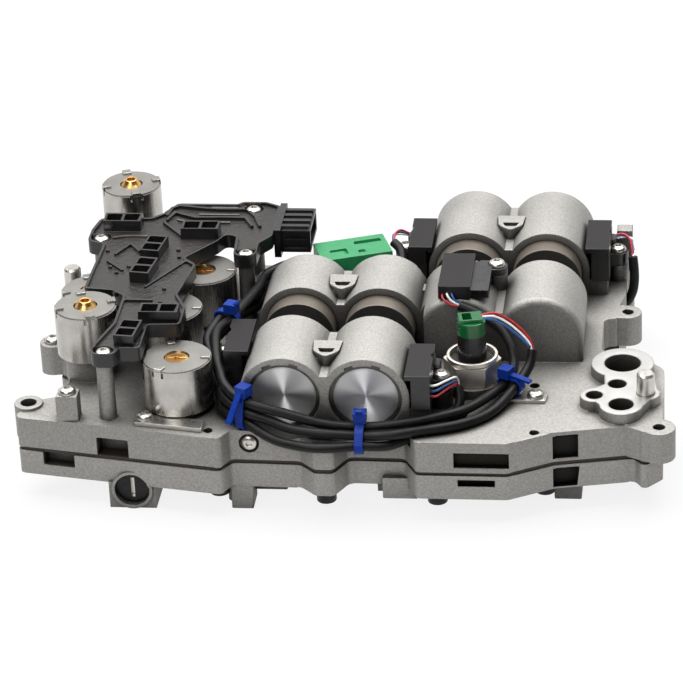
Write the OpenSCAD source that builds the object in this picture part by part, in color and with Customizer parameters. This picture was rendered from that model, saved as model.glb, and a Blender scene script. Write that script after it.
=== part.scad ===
// Hydraulic valve body of a transmission, with four fork cylinders.
// Millimetres, +Z up, origin on the middle foot of the lower casting.

/* [Castings] */
// Overall width over the two front ears
body_w = 366; // [362:1:380]
// Height of the lower casting's flange above the feet
foot_h = 15; // [12:0.5:20]
// Thickness of the lower casting's flange
lower_h = 14.5; // [12:0.5:20]
// Thickness of the separator plate
plate_t = 2; // [1:0.1:3]
// Thickness of the upper casting's deck
upper_h = 18.5; // [16:0.5:24]

/* [Fork cylinders] */
// Distance between neighbouring rails
rail_pitch = 45; // [44:0.5:48]
// Bore diameter of the fork cylinders
bore_d = 40; // [34:0.5:42]
// Wall round each bore
bore_wall = 4.5; // [3.5:0.25:6]
// Length of the fork gap between facing cylinders
fork_gap = 33; // [28:1:40]
// Stroke of a shift piston to each side
stroke = 8; // [4:1:9]

/* [Solenoids] */
// Diameter of the small solenoids
small_d = 35; // [30:0.5:36]
// Height of the small solenoid cans
small_h = 29; // [26:0.5:31]
// Diameter of the large solenoids
large_d = 38.5; // [34:0.5:39]
// Height of the large solenoid cans
large_h = 28; // [24:0.5:30]

/* [Electrics] */
// Underside of the lead frame above the deck
frame_lift = 34; // [34:1:40]
// Thickness of the lead frame
frame_t = 7; // [4:0.5:9]
// Diameter of the sheathed cables
cable_d = 5.5; // [4:0.1:5.6]
// Width of a cable tie
tie_w = 4.8; // [3:0.1:6]

/* [Output] */

/* [Hidden] */
// Heights of the main planes
lower_z = foot_h;
plate_z = lower_z + lower_h;
upper_z = plate_z + plate_t;
deck_z = upper_z + upper_h;
pad_h = 6.5;
frame_z = deck_z + frame_lift;
frame_top = frame_z + frame_t;

// Clearances
run_gap = 0.05;
fit_gap = 0.3;

// Rails: lobe radius, axis height, and the first rail of the front and of the right-hand pair
bore_r = bore_d / 2;
lobe_r = bore_r + bore_wall;
rail_z = deck_z + 15;
front_x = -30;
right_x = 60;
rail_x = [front_x, front_x + rail_pitch, right_x, right_x + rail_pitch];

// Front face, gap and rear face of each pair, along Y
front_pair = [-97.5, -46, -46 + fork_gap, 29];
right_pair = [-24.5, 25, 25 + fork_gap, 114.5];
cap_in = 4;
cap_t = 8;
ring_t = 1.6;

// Screws
screw_r = 2.5;
head_r = 4.75;
head_h = 3.2;

// Ears with a screw of their own, and the square front pillar
left_ear = [-body_w / 2 + 7.5, -8];
front_ear = [-body_w / 2 + 8, -83.5];
right_ear = [body_w / 2 - 9, -95.5];
rear_ear = [152, 38];
block_at = [-149.5, -97];
block_h = 16;

// Solenoids: x, y, height of the can's foot above the deck.
// The third small one keeps clear of the left ear, the last large one of the cables
harness_x = -71.2;
small_at = [[-144, 99, 21], [-147, -43.5, 14], [left_ear.x + small_d / 2 + 5.5, 3, 0]];
large_at = [[-91, 25, 3], [-104, -22.5, 3], [harness_x - large_d / 2, -80.5, 3]];
nose_r = 8;
nose_l = 12;

// Ports of the right-hand pad: x, y, radius
ports = [[152, -35.5, 10], [150, -59.5, 5], [138, -72.5, 4.5], [153, -82.5, 6.7]];
// Dowels: x, y, height of the shoulder above the deck
dowels = [[166, -69.5, pad_h], [-173, 48.5, 0]];
dowel_r = 5;
shank_r = 4.4;
dowel_tip = 19;

// Lead frame screws and the pillars below them
frame_screws = [[-128, -95], [-153, 43.5], [-66, 26], [-69, 83.5]];
pillar_r = 4.5;

// Position sensors beside the rails: rail, side, start along Y
side_sensors = [[0, -1, -74], [1, 1, -100], [2, -1, 56], [3, 1, 56]];
sens_l = 38;
sens_in = lobe_r + 0.7;
sens_w = 10.5;
sens_z = deck_z + 10;
sens_h = 21;
lug_y = 25;
lug_x = sens_in + sens_w + 4;
lug_z = deck_z + 10.5;
lug_t = 7.5;
top_sensor = [[rail_x[2] - 11, rail_x[2] + 7], [-23.5, 18], lobe_r + rail_z - 1];
top_lug = [rail_x[2] + 19.5, 11.5];

// Fluid sensor
fluid_at = [70, -53.5];
fluid_seat = deck_z + 6;

// Spool bore in the lower casting
spool_x = -115.5;
spool_z = 11.5;
spool_r = 7;
spool_y0 = -105.5;
boss_out = 3.6;
plug_r = 9.5;
plug_t = 8;
spool_l = 44;
spring_l = 20;
spring_turns = 6;
spool_travel = 6;

// Depth of the cast windows at the front left
window_in = 13;

// Clamp bolts from below
bolts = [[-67, -104], [-7, -110], [54, -109], [112, -96], [-160, -86], [-148, 110],
         [-60, 84], [34, 108], [142, 108], [131, 2], [-163, 30]];
bolt_r = 3;
bolt_top = deck_z - 8;

// Harness: tie centres, direction, and the cables' places in each tie
cable_r = cable_d / 2;
tie_t = 1.2;
tie_gap = 0.6;
// The harness is laid out for a deck 50 mm high
lift = deck_z - 50;
ties = [[[-70, -27, 74], 72, [[-3, 3.2], [3, 3.2], [0, -2.7]]],
        [[-50.5, -103.8, 61], -30, [[-0.1, 5.2], [-1, -0.6], [-1.6, -6.4]]],
        [[13, -113.5, 50.5], 0, [[5.6, 3.2], [0, 0.9], [-3.6, -3.7]]],
        [[92, -64, 57.5], 62, [[3.2, 0], [-3.2, 0]]]];
// Tail of each tie from its head: along the strap's plane, up, length, angle
tails = [[2, 4, 6, 150], [-3, 5, 20, 232], [-2, 5, 5, 120], [-3, 3, 13, 186]];
gland_at = [144, 71];
plug_at = [-8, 57];
plug_turn = 20;
plug_w = 42;
plug_d = 24;
plug_z = deck_z + 12;
plug_h = 18;

// Outlines: corner points with their radii
body_pts = [[-182, -97, 4], [-64, -117.5, 4], [-58.5, -107.5, 4], [-21, -108.5, 5], [-12, -117.5, 4],
            [-2, -117.5, 4], [5.5, -103, 5], [36, -103.5, 5], [43.5, -117.5, 4], [93, -117.5, 8],
            [117.5, -104, 10], [160.5, -95, 4], [166, -103.5, 3], [176, -92, 3], [175, -30, 10],
            [160, -14, 8], [139, -10, 5], [139, 28, 4], [147, 30, 3], [147, 47, 3],
            [150, 60, 6], [150, 88, 3], [153, 93, 3], [153, 117.5, 9], [22, 117.5, 9],
            [14, 92, 6], [-108, 92, 6], [-114, 117.5, 6], [-162, 117.5, 14], [-165, 62, 4],
            [-171, 30, 4], [-171, -14, 4], [-157, -24, 6], [-157, -72, 5], [-173, -78, 4]];
frame_pts = [[-150, 33, 2], [-151.5, -23, 2], [-135, -25, 3], [-127.5, -32, 3], [-127.5, -64, 3],
             [-134.5, -90, 3], [-134.5, -101.5, 5], [-121.5, -101.5, 5], [-119, -93.5, 2], [-108, -93.5, 3],
             [-108, -66, 2], [-90, -65, 3], [-90, -45, 3], [-97, -29, 4], [-92, 8, 3],
             [-100, 16, 3], [-84, 38, 3], [-80, 47, 3], [-74, 44, 3], [-72.5, 19.5, 5],
             [-59.5, 19.5, 5], [-59.5, 36, 4], [-53, 46, 4], [-53, 85, 3], [-62, 90, 4],
             [-76, 90, 4], [-79, 87, 2], [-114, 87, 4], [-121, 74, 4], [-127, 68, 3],
             [-157, 66, 3], [-160, 50, 4], [-160, 36.5, 5]];

// Beads over the conductors of the lead frame, and the pips that held them in the mould
frame_beads = [[[-118.5, 71], [-117, 80.5], [-113, 84], [-97, 80.8], [-88, 79.9], [-72.5, 80.2],
                [-66, 70.4], [-62, 58.5]],
               [[-117.5, 64.8], [-114.5, 75.3], [-109.8, 72.7], [-101.3, 68.5], [-89.5, 68.8], [-72, 69.2],
                [-66.6, 58.4]],
               [[-119, 61.5], [-105, 44]]];
frame_pips = [[-146, 25], [-141, 4.4], [-136.3, -2.5], [-130.6, 5.5], [-105.8, -21.7], [-105.6, -37.8],
              [-105.2, 27], [-103.3, 18], [-132.2, -27.5]];

$fn = 64;

function unit(v) = v / norm(v);
// Arc that rounds the corner p1 between p0 and p2
function corner(p0, p1, p2, r, n = 4) =
    let (u = unit(p0 - p1),
         v = unit(p2 - p1),
         half = acos(u * v) / 2,
         c = p1 + unit(u + v) * r / sin(half),
         s = p1 + u * r / tan(half) - c,
         e = p1 + v * r / tan(half) - c,
         a0 = atan2(s.y, s.x),
         turn = ((atan2(e.y, e.x) - a0 + 540) % 360) - 180)
    [for (i = [0:n]) c + r * [cos(a0 + turn * i / n), sin(a0 + turn * i / n)]];
function xy(p) = [p.x, p.y];
function rounded(pts) =
    let (n = len(pts))
    [for (i = [0:n - 1])
        for (q = corner(xy(pts[(i + n - 1) % n]), xy(pts[i]), xy(pts[(i + 1) % n]), pts[i][2])) q];

// Smooth curve through the points of a cable
function spline(p, i, t) =
    let (n = len(p),
         a = p[max(i - 1, 0)],
         b = p[i],
         c = p[i + 1],
         d = p[min(i + 2, n - 1)])
    0.5 * (2 * b + (c - a) * t + (2 * a - 5 * b + 4 * c - d) * t * t + (3 * b - a - 3 * c + d) * t * t * t);
function curve(p, n = 3) =
    concat([for (i = [0:len(p) - 2]) for (k = [0:n - 1]) spline(p, i, k / n)], [p[len(p) - 1]]);
// Place of cable i in tie k, s along the tie's direction
function tie_pt(k, i, s) =
    let (a = ties[k][1],
         q = ties[k][2][i])
    ties[k][0] + s * [cos(a), sin(a), 0] + q[0] * [-sin(a), cos(a), 0] + [0, 0, q[1]];
// Place in front of the harness plug's left end, w across it, at height z
function plug_pt(s, w, z) =
    let (l = -plug_w / 2 - s)
    [plug_at.x + l * cos(plug_turn) - w * sin(plug_turn),
     plug_at.y + l * sin(plug_turn) + w * cos(plug_turn), z];

run_1 = [[61, -27, 86.5], [74, -30, 81.5], [85, -35, 75.5], [91, -42.5, 68.5], [92.6, -51, 61.5],
         tie_pt(3, 0, 0), [72, -89, 56.8], [56, -99.6, 56.4], [34, -106, 54.8],
         tie_pt(2, 0, 0), [-8, -109, 56], [-28, -108.3, 61.5],
         tie_pt(1, 0, 0), [-62.5, -91, 68.5], [-67.2, -79, 71.5], [-71.2, -64, 75.5], [-73, -45, 77.8],
         tie_pt(0, 0, 0), [-60.8, -3, 77], [-57.4, 16, 75.3], [-56, 31, 74.6], [-44, 43, 75.6],
         plug_pt(5, -2, 76.6), plug_pt(0.4, -2, 76.6)];
run_2 = [[103, -49, 71], [101.3, -54, 63.5], tie_pt(3, 1, 0),
         [83, -88, 53.6], [67, -102.5, 53.4], [44, -111, 53.4], [28, -114, 52.2],
         tie_pt(2, 1, 0), [-6, -115.3, 53.2], [-24, -112, 54], [-37, -108, 57],
         tie_pt(1, 1, 0), [-64, -91, 61.7], [-66.6, -79, 65], [-73, -62, 69], [-78.8, -45, 73],
         tie_pt(0, 1, 0), [-66.6, -4, 72.4], [-59, 14, 69], [-57.6, 30, 68.4], [-44, 45, 69.3],
         plug_pt(5, 0, 70.7), plug_pt(0.4, 0, 70.7)];
run_3 = [[64, -77.5, 62.5], [65.2, -82.5, 56.5], [61.5, -88.5, 51], [51, -98, 49], [40, -107, 47.2],
         [28, -114.6, 46], tie_pt(2, 2, 0), [0, -120.6, 47.4], [-14, -120.8, 47.6], [-29, -115.8, 47.6],
         [-39, -112, 50], tie_pt(1, 2, 0), [-65, -91, 54.6], [-68, -77, 56.6], [-72.5, -64, 59.2],
         [-80, -48, 64.8], tie_pt(0, 2, 0), [-66, -4, 66], [-58.9, 15, 62.8], [-57.7, 30, 62],
         [-45, 47, 63], plug_pt(5, 2, 64.8), plug_pt(0.4, 2, 64.8)];
run_4 = [[14.5, 70.5, 76.5], [18.6, 66, 74.4], [20.6, 58.5, 71.2], [20, 49, 69], [16.8, 40.9, 68],
         [9, 37.6, 67.5], [1.2, 40.7, 67.5], [-1.7, 46, 67.5]];
run_5 = [[153.4, 75.5, 66.5], [154.2, 74, 60], [154.4, 72.5, 53], [153.6, 71.5, 46.6], [151.2, 71, 40.8],
         [148, 71, 37.2], [145.6, 71, 35.6]];

module rod(p, r, l) {
    translate(p) rotate([-90, 0, 0]) cylinder(r = r, h = l);
}

module along_y(y0, y1) {
    translate([0, y1, 0]) rotate([90, 0, 0]) linear_extrude(y1 - y0) children();
}

// Tube of radius r swept along a smooth curve; ref is never parallel to it
module tube(path, r, ref, n = 8) {
    p = curve(path);
    m = len(p);
    points = [for (i = [0:m - 1])
        let (t = unit(p[min(i + 1, m - 1)] - p[max(i - 1, 0)]),
             u = unit(cross(t, ref)),
             v = cross(t, u))
        for (k = [0:n - 1]) p[i] + r * (cos(360 * k / n) * u + sin(360 * k / n) * v)];
    sides = [for (i = [0:m - 2]) for (k = [0:n - 1])
        let (a = i * n + k, b = i * n + (k + 1) % n)
        each [[a, b, b + n], [a, b + n, a + n]]];
    ends = [[for (k = [n - 1:-1:0]) k], [for (k = [0:n - 1]) (m - 1) * n + k]];
    polyhedron(points, concat(sides, ends), convexity = 8);
}

// Button-head screw with a six-lobe recess; the head's seat is at the origin
module screw(l) {
    difference() {
        union() {
            translate([0, 0, -l]) cylinder(r = screw_r - fit_gap, h = l, $fn = 24);
            rotate_extrude($fn = 32) polygon([[0, 0], [head_r, 0], [head_r, 1], [head_r * 0.86, 2.3],
                                              [head_r * 0.5, head_h], [0, head_h]]);
        }
        translate([0, 0, head_h - 1.8]) cylinder(r = 2, h = 3, $fn = 6);
    }
}

module body_2d() {
    polygon(rounded(body_pts));
}

module pair_2d(x) {
    for (i = [0, 1]) translate([x + i * rail_pitch, rail_z]) circle(r = lobe_r);
    translate([x - lobe_r + 0.5, deck_z - 8]) square([rail_pitch + 2 * lobe_r - 1, rail_z - deck_z + 8]);
    translate([x + rail_pitch / 2 - 2.3, rail_z]) square([4.6, lobe_r * 0.56]);
}

// Shield-shaped boss in the valley of a pair
module shield(x, y) {
    translate([x + rail_pitch / 2, y, rail_z]) difference() {
        linear_extrude(lobe_r * 0.84)
            polygon(rounded([[-8, 9, 1], [8, 9, 1], [7, -3, 4], [0, -9.5, 3], [-7, -3, 4]]));
        translate([0, 0, lobe_r * 0.84 - 3]) linear_extrude(4)
            polygon(rounded([[-5, 0, 0.5], [5, 0, 0.5], [3, -4, 2], [-3, -4, 2]]));
    }
}

// Closed front end of a lobe, with its cast edge rounded
module closed_end(x, y, r) {
    hull() for (a = [0:30:90])
        translate([0, y + r * (1 - cos(a)), 0]) along_y(0, 0.02) {
            translate([x, rail_z]) circle(r = lobe_r - r * (1 - sin(a)), $fn = 48);
            translate([x - lobe_r + r * (1 - sin(a)), deck_z - 4])
                square([2 * (lobe_r - r * (1 - sin(a))), rail_z - deck_z + 4]);
        }
}

module sensor_seat(s) {
    translate([rail_x[s[0]], s[2], 0]) scale([s[1], 1, 1]) {
        translate([sens_in - 3, 3, deck_z - 2]) cube([sens_w + 2, sens_l - 6, sens_z - deck_z + 2]);
        difference() {
            union() {
                translate([lug_x, lug_y, deck_z - 2]) cylinder(r = 6, h = lug_z - deck_z + 2, $fn = 32);
                translate([sens_in + sens_w - 3, lug_y - 4, deck_z - 2]) cube([6, 8, lug_z - deck_z - 1]);
            }
            translate([sens_in - 1, -1, sens_z]) cube([sens_w + 1 + fit_gap, sens_l + 2, sens_h]);
        }
    }
}

module ear(p, r, to) {
    d = unit(to - p);
    n = [-d.y, d.x] * (r - 0.2);
    translate(p) circle(r = r);
    polygon([p + n, p - n, to - n, to + n]);
}

module upper_body() color("silver") difference() {
    union() {
        translate([0, 0, upper_z]) linear_extrude(upper_h) {
            body_2d();
            ear(left_ear, 7.5, [-160, -6]);
            ear(front_ear, 8, [-160, -88]);
            ear(right_ear, 9, [160, -88]);
            ear(rear_ear, 8, [140, 38]);
            ear(xy(dowels[1]), 8, [-158, 48]);
        }
        translate([front_ear.x, front_ear.y, upper_z]) cylinder(r = 8, h = upper_h + 2);
        // Port pad
        translate([0, 0, deck_z - 1]) linear_extrude(pad_h + 1) {
            translate(xy(ports[0])) circle(r = 17.5);
            translate(xy(ports[2])) circle(r = 8);
            translate(xy(ports[3])) circle(r = 12);
            translate(xy(dowels[0])) circle(r = 8);
            polygon([[141, -28], [163, -28], [170, -52], [173, -68], [163, -88], [143, -86], [138, -79],
                     [134, -68], [143, -60]]);
        }
        // Cylinders
        along_y(front_pair[0], front_pair[1]) pair_2d(rail_x[0]);
        along_y(front_pair[2], front_pair[3]) pair_2d(rail_x[0]);
        along_y(right_pair[0] + 3.5, right_pair[1]) pair_2d(rail_x[2]);
        along_y(right_pair[2], right_pair[3]) pair_2d(rail_x[2]);
        for (i = [2, 3]) closed_end(rail_x[i], right_pair[0], 3.5);
        for (i = [0, 1]) rod([rail_x[i], front_pair[1] - 1, rail_z], lobe_r - 1.9, 3.5);
        for (i = [2, 3]) rod([rail_x[i], right_pair[1] - 1, rail_z], lobe_r - 1.9, 3.5);
        shield(rail_x[0], front_pair[0] + 20);
        shield(rail_x[0], front_pair[2] + 15);
        shield(rail_x[2], right_pair[2] + 22);
        // Rib between the front group and the right-hand group
        translate([rail_x[1] + lobe_r - 6, front_pair[2] + 24, deck_z - 2]) cube([14, 8, 28]);
        // Bosses under the position sensors
        for (s = side_sensors) sensor_seat(s);
        translate([top_lug.x, top_lug.y, rail_z]) cylinder(r = 6, h = top_sensor[2] - rail_z);
        // Seats of the solenoids and of the fluid sensor
        for (s = small_at) if (s[2] > 0) translate([s.x, s.y, deck_z - 2]) cylinder(r = 13.5, h = s[2] + 2);
        for (s = large_at) translate([s.x, s.y, deck_z - 2]) cylinder(r = 16, h = s[2] + 2);
        translate([fluid_at.x, fluid_at.y, deck_z - 2]) cylinder(r = 16.5, h = fluid_seat - deck_z + 2);
        translate([44, -66, deck_z - 1]) cube([24, 38, 4]);
        // Pillars of the lead frame
        for (p = frame_screws) translate([p.x, p.y, deck_z - 2])
            cylinder(r1 = pillar_r + 0.4, r2 = pillar_r, h = frame_lift + 2);
        translate([block_at.x - 6, block_at.y - 5, deck_z - 2]) cube([12, 10, block_h + 2]);
        // Tower behind the right-hand rear sensor
        translate([143.5, 94, deck_z - 2]) cube([9, 9, 26]);
        // Rest for the harness plug
        translate([plug_at.x, plug_at.y, deck_z - 2]) rotate(plug_turn)
            translate([-9, -7, 0]) cube([18, 14, plug_z - deck_z + 2]);
    }
    // Cylinder bores, bored from the front and from the rear
    for (i = [0, 1]) rod([rail_x[i], -140, rail_z], bore_r, 140 + front_pair[3] - 5);
    for (i = [2, 3]) rod([rail_x[i], right_pair[0] + 6.5, rail_z], bore_r, 140);
    for (i = [0, 1])
        rod([rail_x[i], front_pair[0] + cap_in - ring_t - 0.2, rail_z], bore_r + 1.2, ring_t + 0.2);
    for (i = [2, 3]) rod([rail_x[i], right_pair[3] - cap_in, rail_z], bore_r + 1.2, ring_t + 0.2);
    for (i = [0, 1]) for (a = [-24, 18])
        translate([rail_x[i], front_pair[0], rail_z]) rotate([0, a, 0])
            translate([-2.5, -1, bore_r - 1]) cube([5, 3.4, 2.6]);
    // Shift-fork slots cut down to the deck
    translate([rail_x[0] - lobe_r - 1, front_pair[1] + 2.5, deck_z])
        cube([rail_pitch + 2 * lobe_r + 2, fork_gap - 2.5, 50]);
    translate([rail_x[2] - lobe_r - 1, right_pair[1] + 2.5, deck_z])
        cube([rail_pitch + 2 * lobe_r + 2, fork_gap - 2.5, 50]);
    // Flat for the sensor on the third rail
    translate([top_sensor[0][0] - 1, top_sensor[1][0] - 2, top_sensor[2]]) cube([40, 46, 10]);
    // Ports, dowels and ears
    for (p = ports) translate([p.x, p.y, upper_z - 1]) cylinder(r = p[2], h = 60);
    for (p = dowels) translate([p.x, p.y, deck_z - 14]) cylinder(r = shank_r, h = 40);
    for (p = dowels) translate([p.x, p.y, deck_z + p[2] - 0.6]) cylinder(r = dowel_r + fit_gap, h = 20);
    translate([front_ear.x, front_ear.y, upper_z - 1]) cylinder(r = 4.4, h = 60);
    translate([right_ear.x, right_ear.y, upper_z - 1]) cylinder(r = 3.2, h = 60);
    translate([rear_ear.x, rear_ear.y, upper_z - 1]) cylinder(r = 3.2, h = 60);
    translate([left_ear.x, left_ear.y, deck_z - 14]) cylinder(r = screw_r, h = 20, $fn = 24);
    // Solenoid noses, screw holes and bolt threads
    for (s = concat(small_at, large_at))
        translate([s.x, s.y, deck_z + s[2] - nose_l - 1]) cylinder(r = nose_r + fit_gap, h = 40);
    for (p = frame_screws) translate([p.x, p.y, frame_z - 14]) cylinder(r = screw_r, h = 20, $fn = 24);
    translate([block_at.x, block_at.y, deck_z + block_h - 12]) cylinder(r = screw_r, h = 20, $fn = 24);
    for (s = side_sensors) translate([rail_x[s[0]] + s[1] * lug_x, s[2] + lug_y, lug_z - 12])
        cylinder(r = screw_r, h = 20, $fn = 24);
    translate([top_lug.x, top_lug.y, top_sensor[2] - 12]) cylinder(r = screw_r, h = 20, $fn = 24);
    translate([fluid_at.x, fluid_at.y, upper_z - 1]) cylinder(r = 9 + fit_gap, h = 60);
    for (p = bolts) translate([p.x, p.y, upper_z - 1])
        cylinder(r = bolt_r + fit_gap, h = bolt_top - upper_z + 2, $fn = 24);
    for (p = [[104, -51.5], [107, -104], [-71, -108]])
        translate([p.x, p.y, deck_z - 10]) cylinder(r = 2.6, h = 20, $fn = 24);
    translate([105.5, -67, deck_z - 12]) cylinder(r = screw_r, h = 20, $fn = 24);
    translate([-107, -99.5, deck_z - 12]) cylinder(r = screw_r, h = 20, $fn = 24);
    // Plug screw and cast windows of the front wall
    translate([-48.7, -120, deck_z - 8]) rotate([-90, 0, 0]) cylinder(r = screw_r, h = 26, $fn = 24);
    translate([-48.7, -120, deck_z - 8]) rotate([-90, 0, 0])
        cylinder(r = head_r + 0.8, h = 120 - 105.5, $fn = 32);
    translate([-125, -107.5, upper_z - 1]) rotate(-10) translate([-9, -4, 0]) cube([18, window_in, 12]);
    translate([64, -119, upper_z + 3]) cube([30, 5, 9]);
    translate([124, -104, upper_z + 2]) rotate(12) translate([-7, -4, 0]) cube([14, 9, 14]);
    // Recess of the side wall that takes the end of the last cable
    translate([gland_at.x, gland_at.y - cable_r - 1, upper_z - 1]) cube([20, cable_d + 2, upper_h - 3]);
    // Groove under the crossing cables
    translate([0, 0, deck_z - 6.8]) linear_extrude(12) offset(delta = 1.2)
        polygon([[69, -82], [66, -93], [52, -102], [42, -111], [36, -106], [48, -96.5], [58, -86]]);
}

module lower_body() color("gray") difference() {
    union() {
        translate([0, 0, lower_z]) linear_extrude(lower_h) body_2d();
        // Spool housing, gallery ribs and feet
        rod([spool_x, spool_y0 - boss_out, spool_z], spool_z, 86 + boss_out);
        translate([spool_x - 13, spool_y0 + 1 - boss_out, 0]) cube([26, 82 + boss_out, lower_z + 1]);
        for (x = [-40, 28, 96]) translate([x - 9, -92, 4]) cube([18, 176, lower_z - 3]);
        for (p = [[-56, -101], [124, -84], [-140, 88], [124, 92]])
            translate([p.x - 7.5, p.y - 6, 0]) cube([15, 16, lower_z + 1]);
        translate([-14, -12, 0]) cube([28, 24, lower_z + 1]);
        translate([23.5, -106.5, lower_z - 7]) cube([19, 17, 13]);
    }
    rod([spool_x, spool_y0 - 1, spool_z], spool_r + run_gap, 1 + plug_t + 3 + spool_l + spring_l);
    rod([spool_x, spool_y0 - boss_out - 5, spool_z], plug_r + run_gap, 5 + boss_out + plug_t);
    for (p = bolts) translate([p.x, p.y, 0]) cylinder(r = bolt_r + fit_gap, h = 60, $fn = 24);
    for (p = bolts) translate([p.x, p.y, -1]) cylinder(r = 7, h = lower_z + 1, $fn = 24);
    translate([-157, -103, plate_z - 8]) rotate(-10) translate([-9, -4, 0]) cube([18, window_in, 10]);
    translate([66, -119, lower_z + 8]) cube([20, 5, 4]);
    translate([124, -104, lower_z + 1]) rotate(12) translate([-7, -4, 0]) cube([14, 9, lower_h - 3]);
    // Fluid channels under the separator plate
    for (y = [-70, -20, 40]) translate([-150, y, plate_z - 7]) cube([270, 9, 10]);
}

module separator_plate() color("dimgray") difference() {
    translate([0, 0, plate_z]) linear_extrude(plate_t) offset(delta = -0.9) body_2d();
    for (p = bolts) translate([p.x, p.y, plate_z - 1]) cylinder(r = bolt_r + fit_gap, h = 10, $fn = 24);
    for (y = [-70, -20, 40]) for (x = [-120, -60, 0, 60])
        translate([x, y + 4.5, plate_z - 1]) cylinder(r = 3, h = 10, $fn = 24);
}

module clamp_bolts() color("darkslategray") for (p = bolts) translate([p.x, p.y, lower_z]) {
    cylinder(r = bolt_r, h = bolt_top - lower_z, $fn = 24);
    difference() {
        translate([0, 0, -6]) cylinder(r = 5.5, h = 6, $fn = 32);
        translate([0, 0, -7]) cylinder(r = 2.6, h = 4, $fn = 6);
    }
}

module dowel_pins() color("gainsboro") for (p = dowels) translate([p.x, p.y, deck_z])
    rotate_extrude($fn = 48)
    polygon([[0, -14], [shank_r, -14], [shank_r, p[2]], [dowel_r, p[2]], [dowel_r, dowel_tip - 1.2],
             [dowel_r - 1.1, dowel_tip], [0, dowel_tip]]);

// Double-ended piston: two heads, with the fork's groove between them
function piston_ends(g) = [g[1] - 30, g[1] - 2, g[2] - 12, min(g[2] + 26, g[3] - 6 - stroke)];
module piston(i, g) {
    e = piston_ends(g);
    translate([rail_x[i], 0, rail_z]) rotate([-90, 0, 0]) rotate_extrude()
        polygon([[0, e[0]], [bore_r - 2, e[0]], [bore_r - run_gap, e[0] + 2], [bore_r - run_gap, e[0] + 6],
                 [bore_r - 2.5, e[0] + 6], [bore_r - 2.5, e[0] + 9], [bore_r - run_gap, e[0] + 9],
                 [bore_r - run_gap, e[1]], [12, e[1]], [12, e[2]], [bore_r - run_gap, e[2]],
                 [bore_r - run_gap, e[3] - 9], [bore_r - 2.5, e[3] - 9], [bore_r - 2.5, e[3] - 6],
                 [bore_r - run_gap, e[3] - 6], [bore_r - run_gap, e[3] - 2], [bore_r - 2, e[3]], [0, e[3]]]);
}
module seals(i, g) {
    e = piston_ends(g);
    for (y = [e[0] + 6, e[3] - 9]) translate([rail_x[i], y + 0.1, rail_z]) rotate([-90, 0, 0]) difference() {
        cylinder(r = bore_r - 0.03, h = 2.8);
        translate([0, 0, -1]) cylinder(r = bore_r - 2.5, h = 5);
    }
}
module shift_piston_1() color("tan") piston(0, front_pair);
module shift_piston_2() color("tan") piston(1, front_pair);
module shift_piston_3() color("tan") piston(2, right_pair);
module shift_piston_4() color("tan") piston(3, right_pair);
module piston_seals_1() color("black") seals(0, front_pair);
module piston_seals_2() color("black") seals(1, front_pair);
module piston_seals_3() color("black") seals(2, right_pair);
module piston_seals_4() color("black") seals(3, right_pair);

module end_caps() color("white") {
    for (i = [0, 1]) rod([rail_x[i], front_pair[0] + cap_in, rail_z], bore_r - 0.02, cap_t);
    for (i = [2, 3]) rod([rail_x[i], right_pair[3] - cap_in - cap_t, rail_z], bore_r - 0.02, cap_t);
}

module snap_ring(p) {
    difference() {
        rod(p, bore_r + 1, ring_t);
        rod(p - [0, 1, 0], bore_r - 2.2, ring_t + 2);
        translate(p + [-3, -1, -bore_r - 3]) cube([6, ring_t + 2, 8]);
    }
}
module cap_rings() color("darkgray") {
    for (i = [0, 1]) snap_ring([rail_x[i], front_pair[0] + cap_in - ring_t, rail_z]);
    for (i = [2, 3]) snap_ring([rail_x[i], right_pair[3] - cap_in, rail_z]);
}

// Slots in a can's rim on both sides of a crimped tab
module crimp_slots(r, y, h) {
    for (k = [-1, 1]) translate([r - 2.2, k * y - 0.7, h - 4.6]) cube([4, 1.4, 3.4]);
}
// Small solenoid: can with four crimped tabs round the end plate
module small_can(s) color("lightgray") translate([s.x, s.y, deck_z + s[2]]) difference() {
    union() {
        translate([0, 0, -nose_l]) cylinder(r = nose_r, h = nose_l + 1);
        cylinder(r = small_d / 2, h = small_h - 1.5);
        cylinder(r = small_d / 2 - 0.8, h = small_h - 0.6);
        for (a = [20:90:290]) rotate(a) translate([small_d / 2 - 5, -2.5, small_h - 3]) cube([4.7, 5, 3.8]);
    }
    for (a = [20:90:290]) rotate(a) crimp_slots(small_d / 2, 3.3, small_h);
    translate([0, 0, small_h - 4]) cylinder(r = 6.6, h = 10);
}
module small_pole(s) color("goldenrod") translate([s.x, s.y, deck_z + s[2] + small_h - 4])
    rotate_extrude($fn = 40)
    polygon([[0, 0], [6.3, 0], [6.3, 2.4], [4.6, 4.4], [3.6, 6.4], [2.4, 6.4], [2.4, 2.5], [0, 2.5]]);
// Large solenoid: flat on one side, three tabs, brass plug sunk in the end plate
module large_can(s) color("lightgray") translate([s.x, s.y, deck_z + s[2]]) difference() {
    union() {
        translate([0, 0, -nose_l]) cylinder(r = nose_r, h = nose_l + 1);
        cylinder(r = large_d / 2, h = large_h - 1);
        cylinder(r = large_d / 2 - 0.8, h = large_h - 0.3);
        for (a = [0, 110, 245]) rotate(a)
            translate([large_d / 2 - 5.5, -2.2, large_h - 3]) cube([5.2, 4.4, 3.9]);
    }
    for (a = [110, 245]) rotate(a) crimp_slots(large_d / 2, 3, large_h);
    translate([-large_d / 2 - 1, -large_d / 2, large_h - 12]) cube([3, large_d, 20]);
    translate([0, 0, large_h - 4]) cylinder(r = 7, h = 10);
}
module large_pole(s) color("peru") translate([s.x, s.y, deck_z + s[2] + large_h - 4]) difference() {
    cylinder(r = 6.7, h = 2.6, $fn = 40);
    translate([0, 0, 1]) cylinder(r = 1.6, h = 4, $fn = 24);
    translate([-5, -0.8, 1.6]) cube([10, 1.6, 2]);
}
module solenoid_can_1() small_can(small_at[0]);
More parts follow.
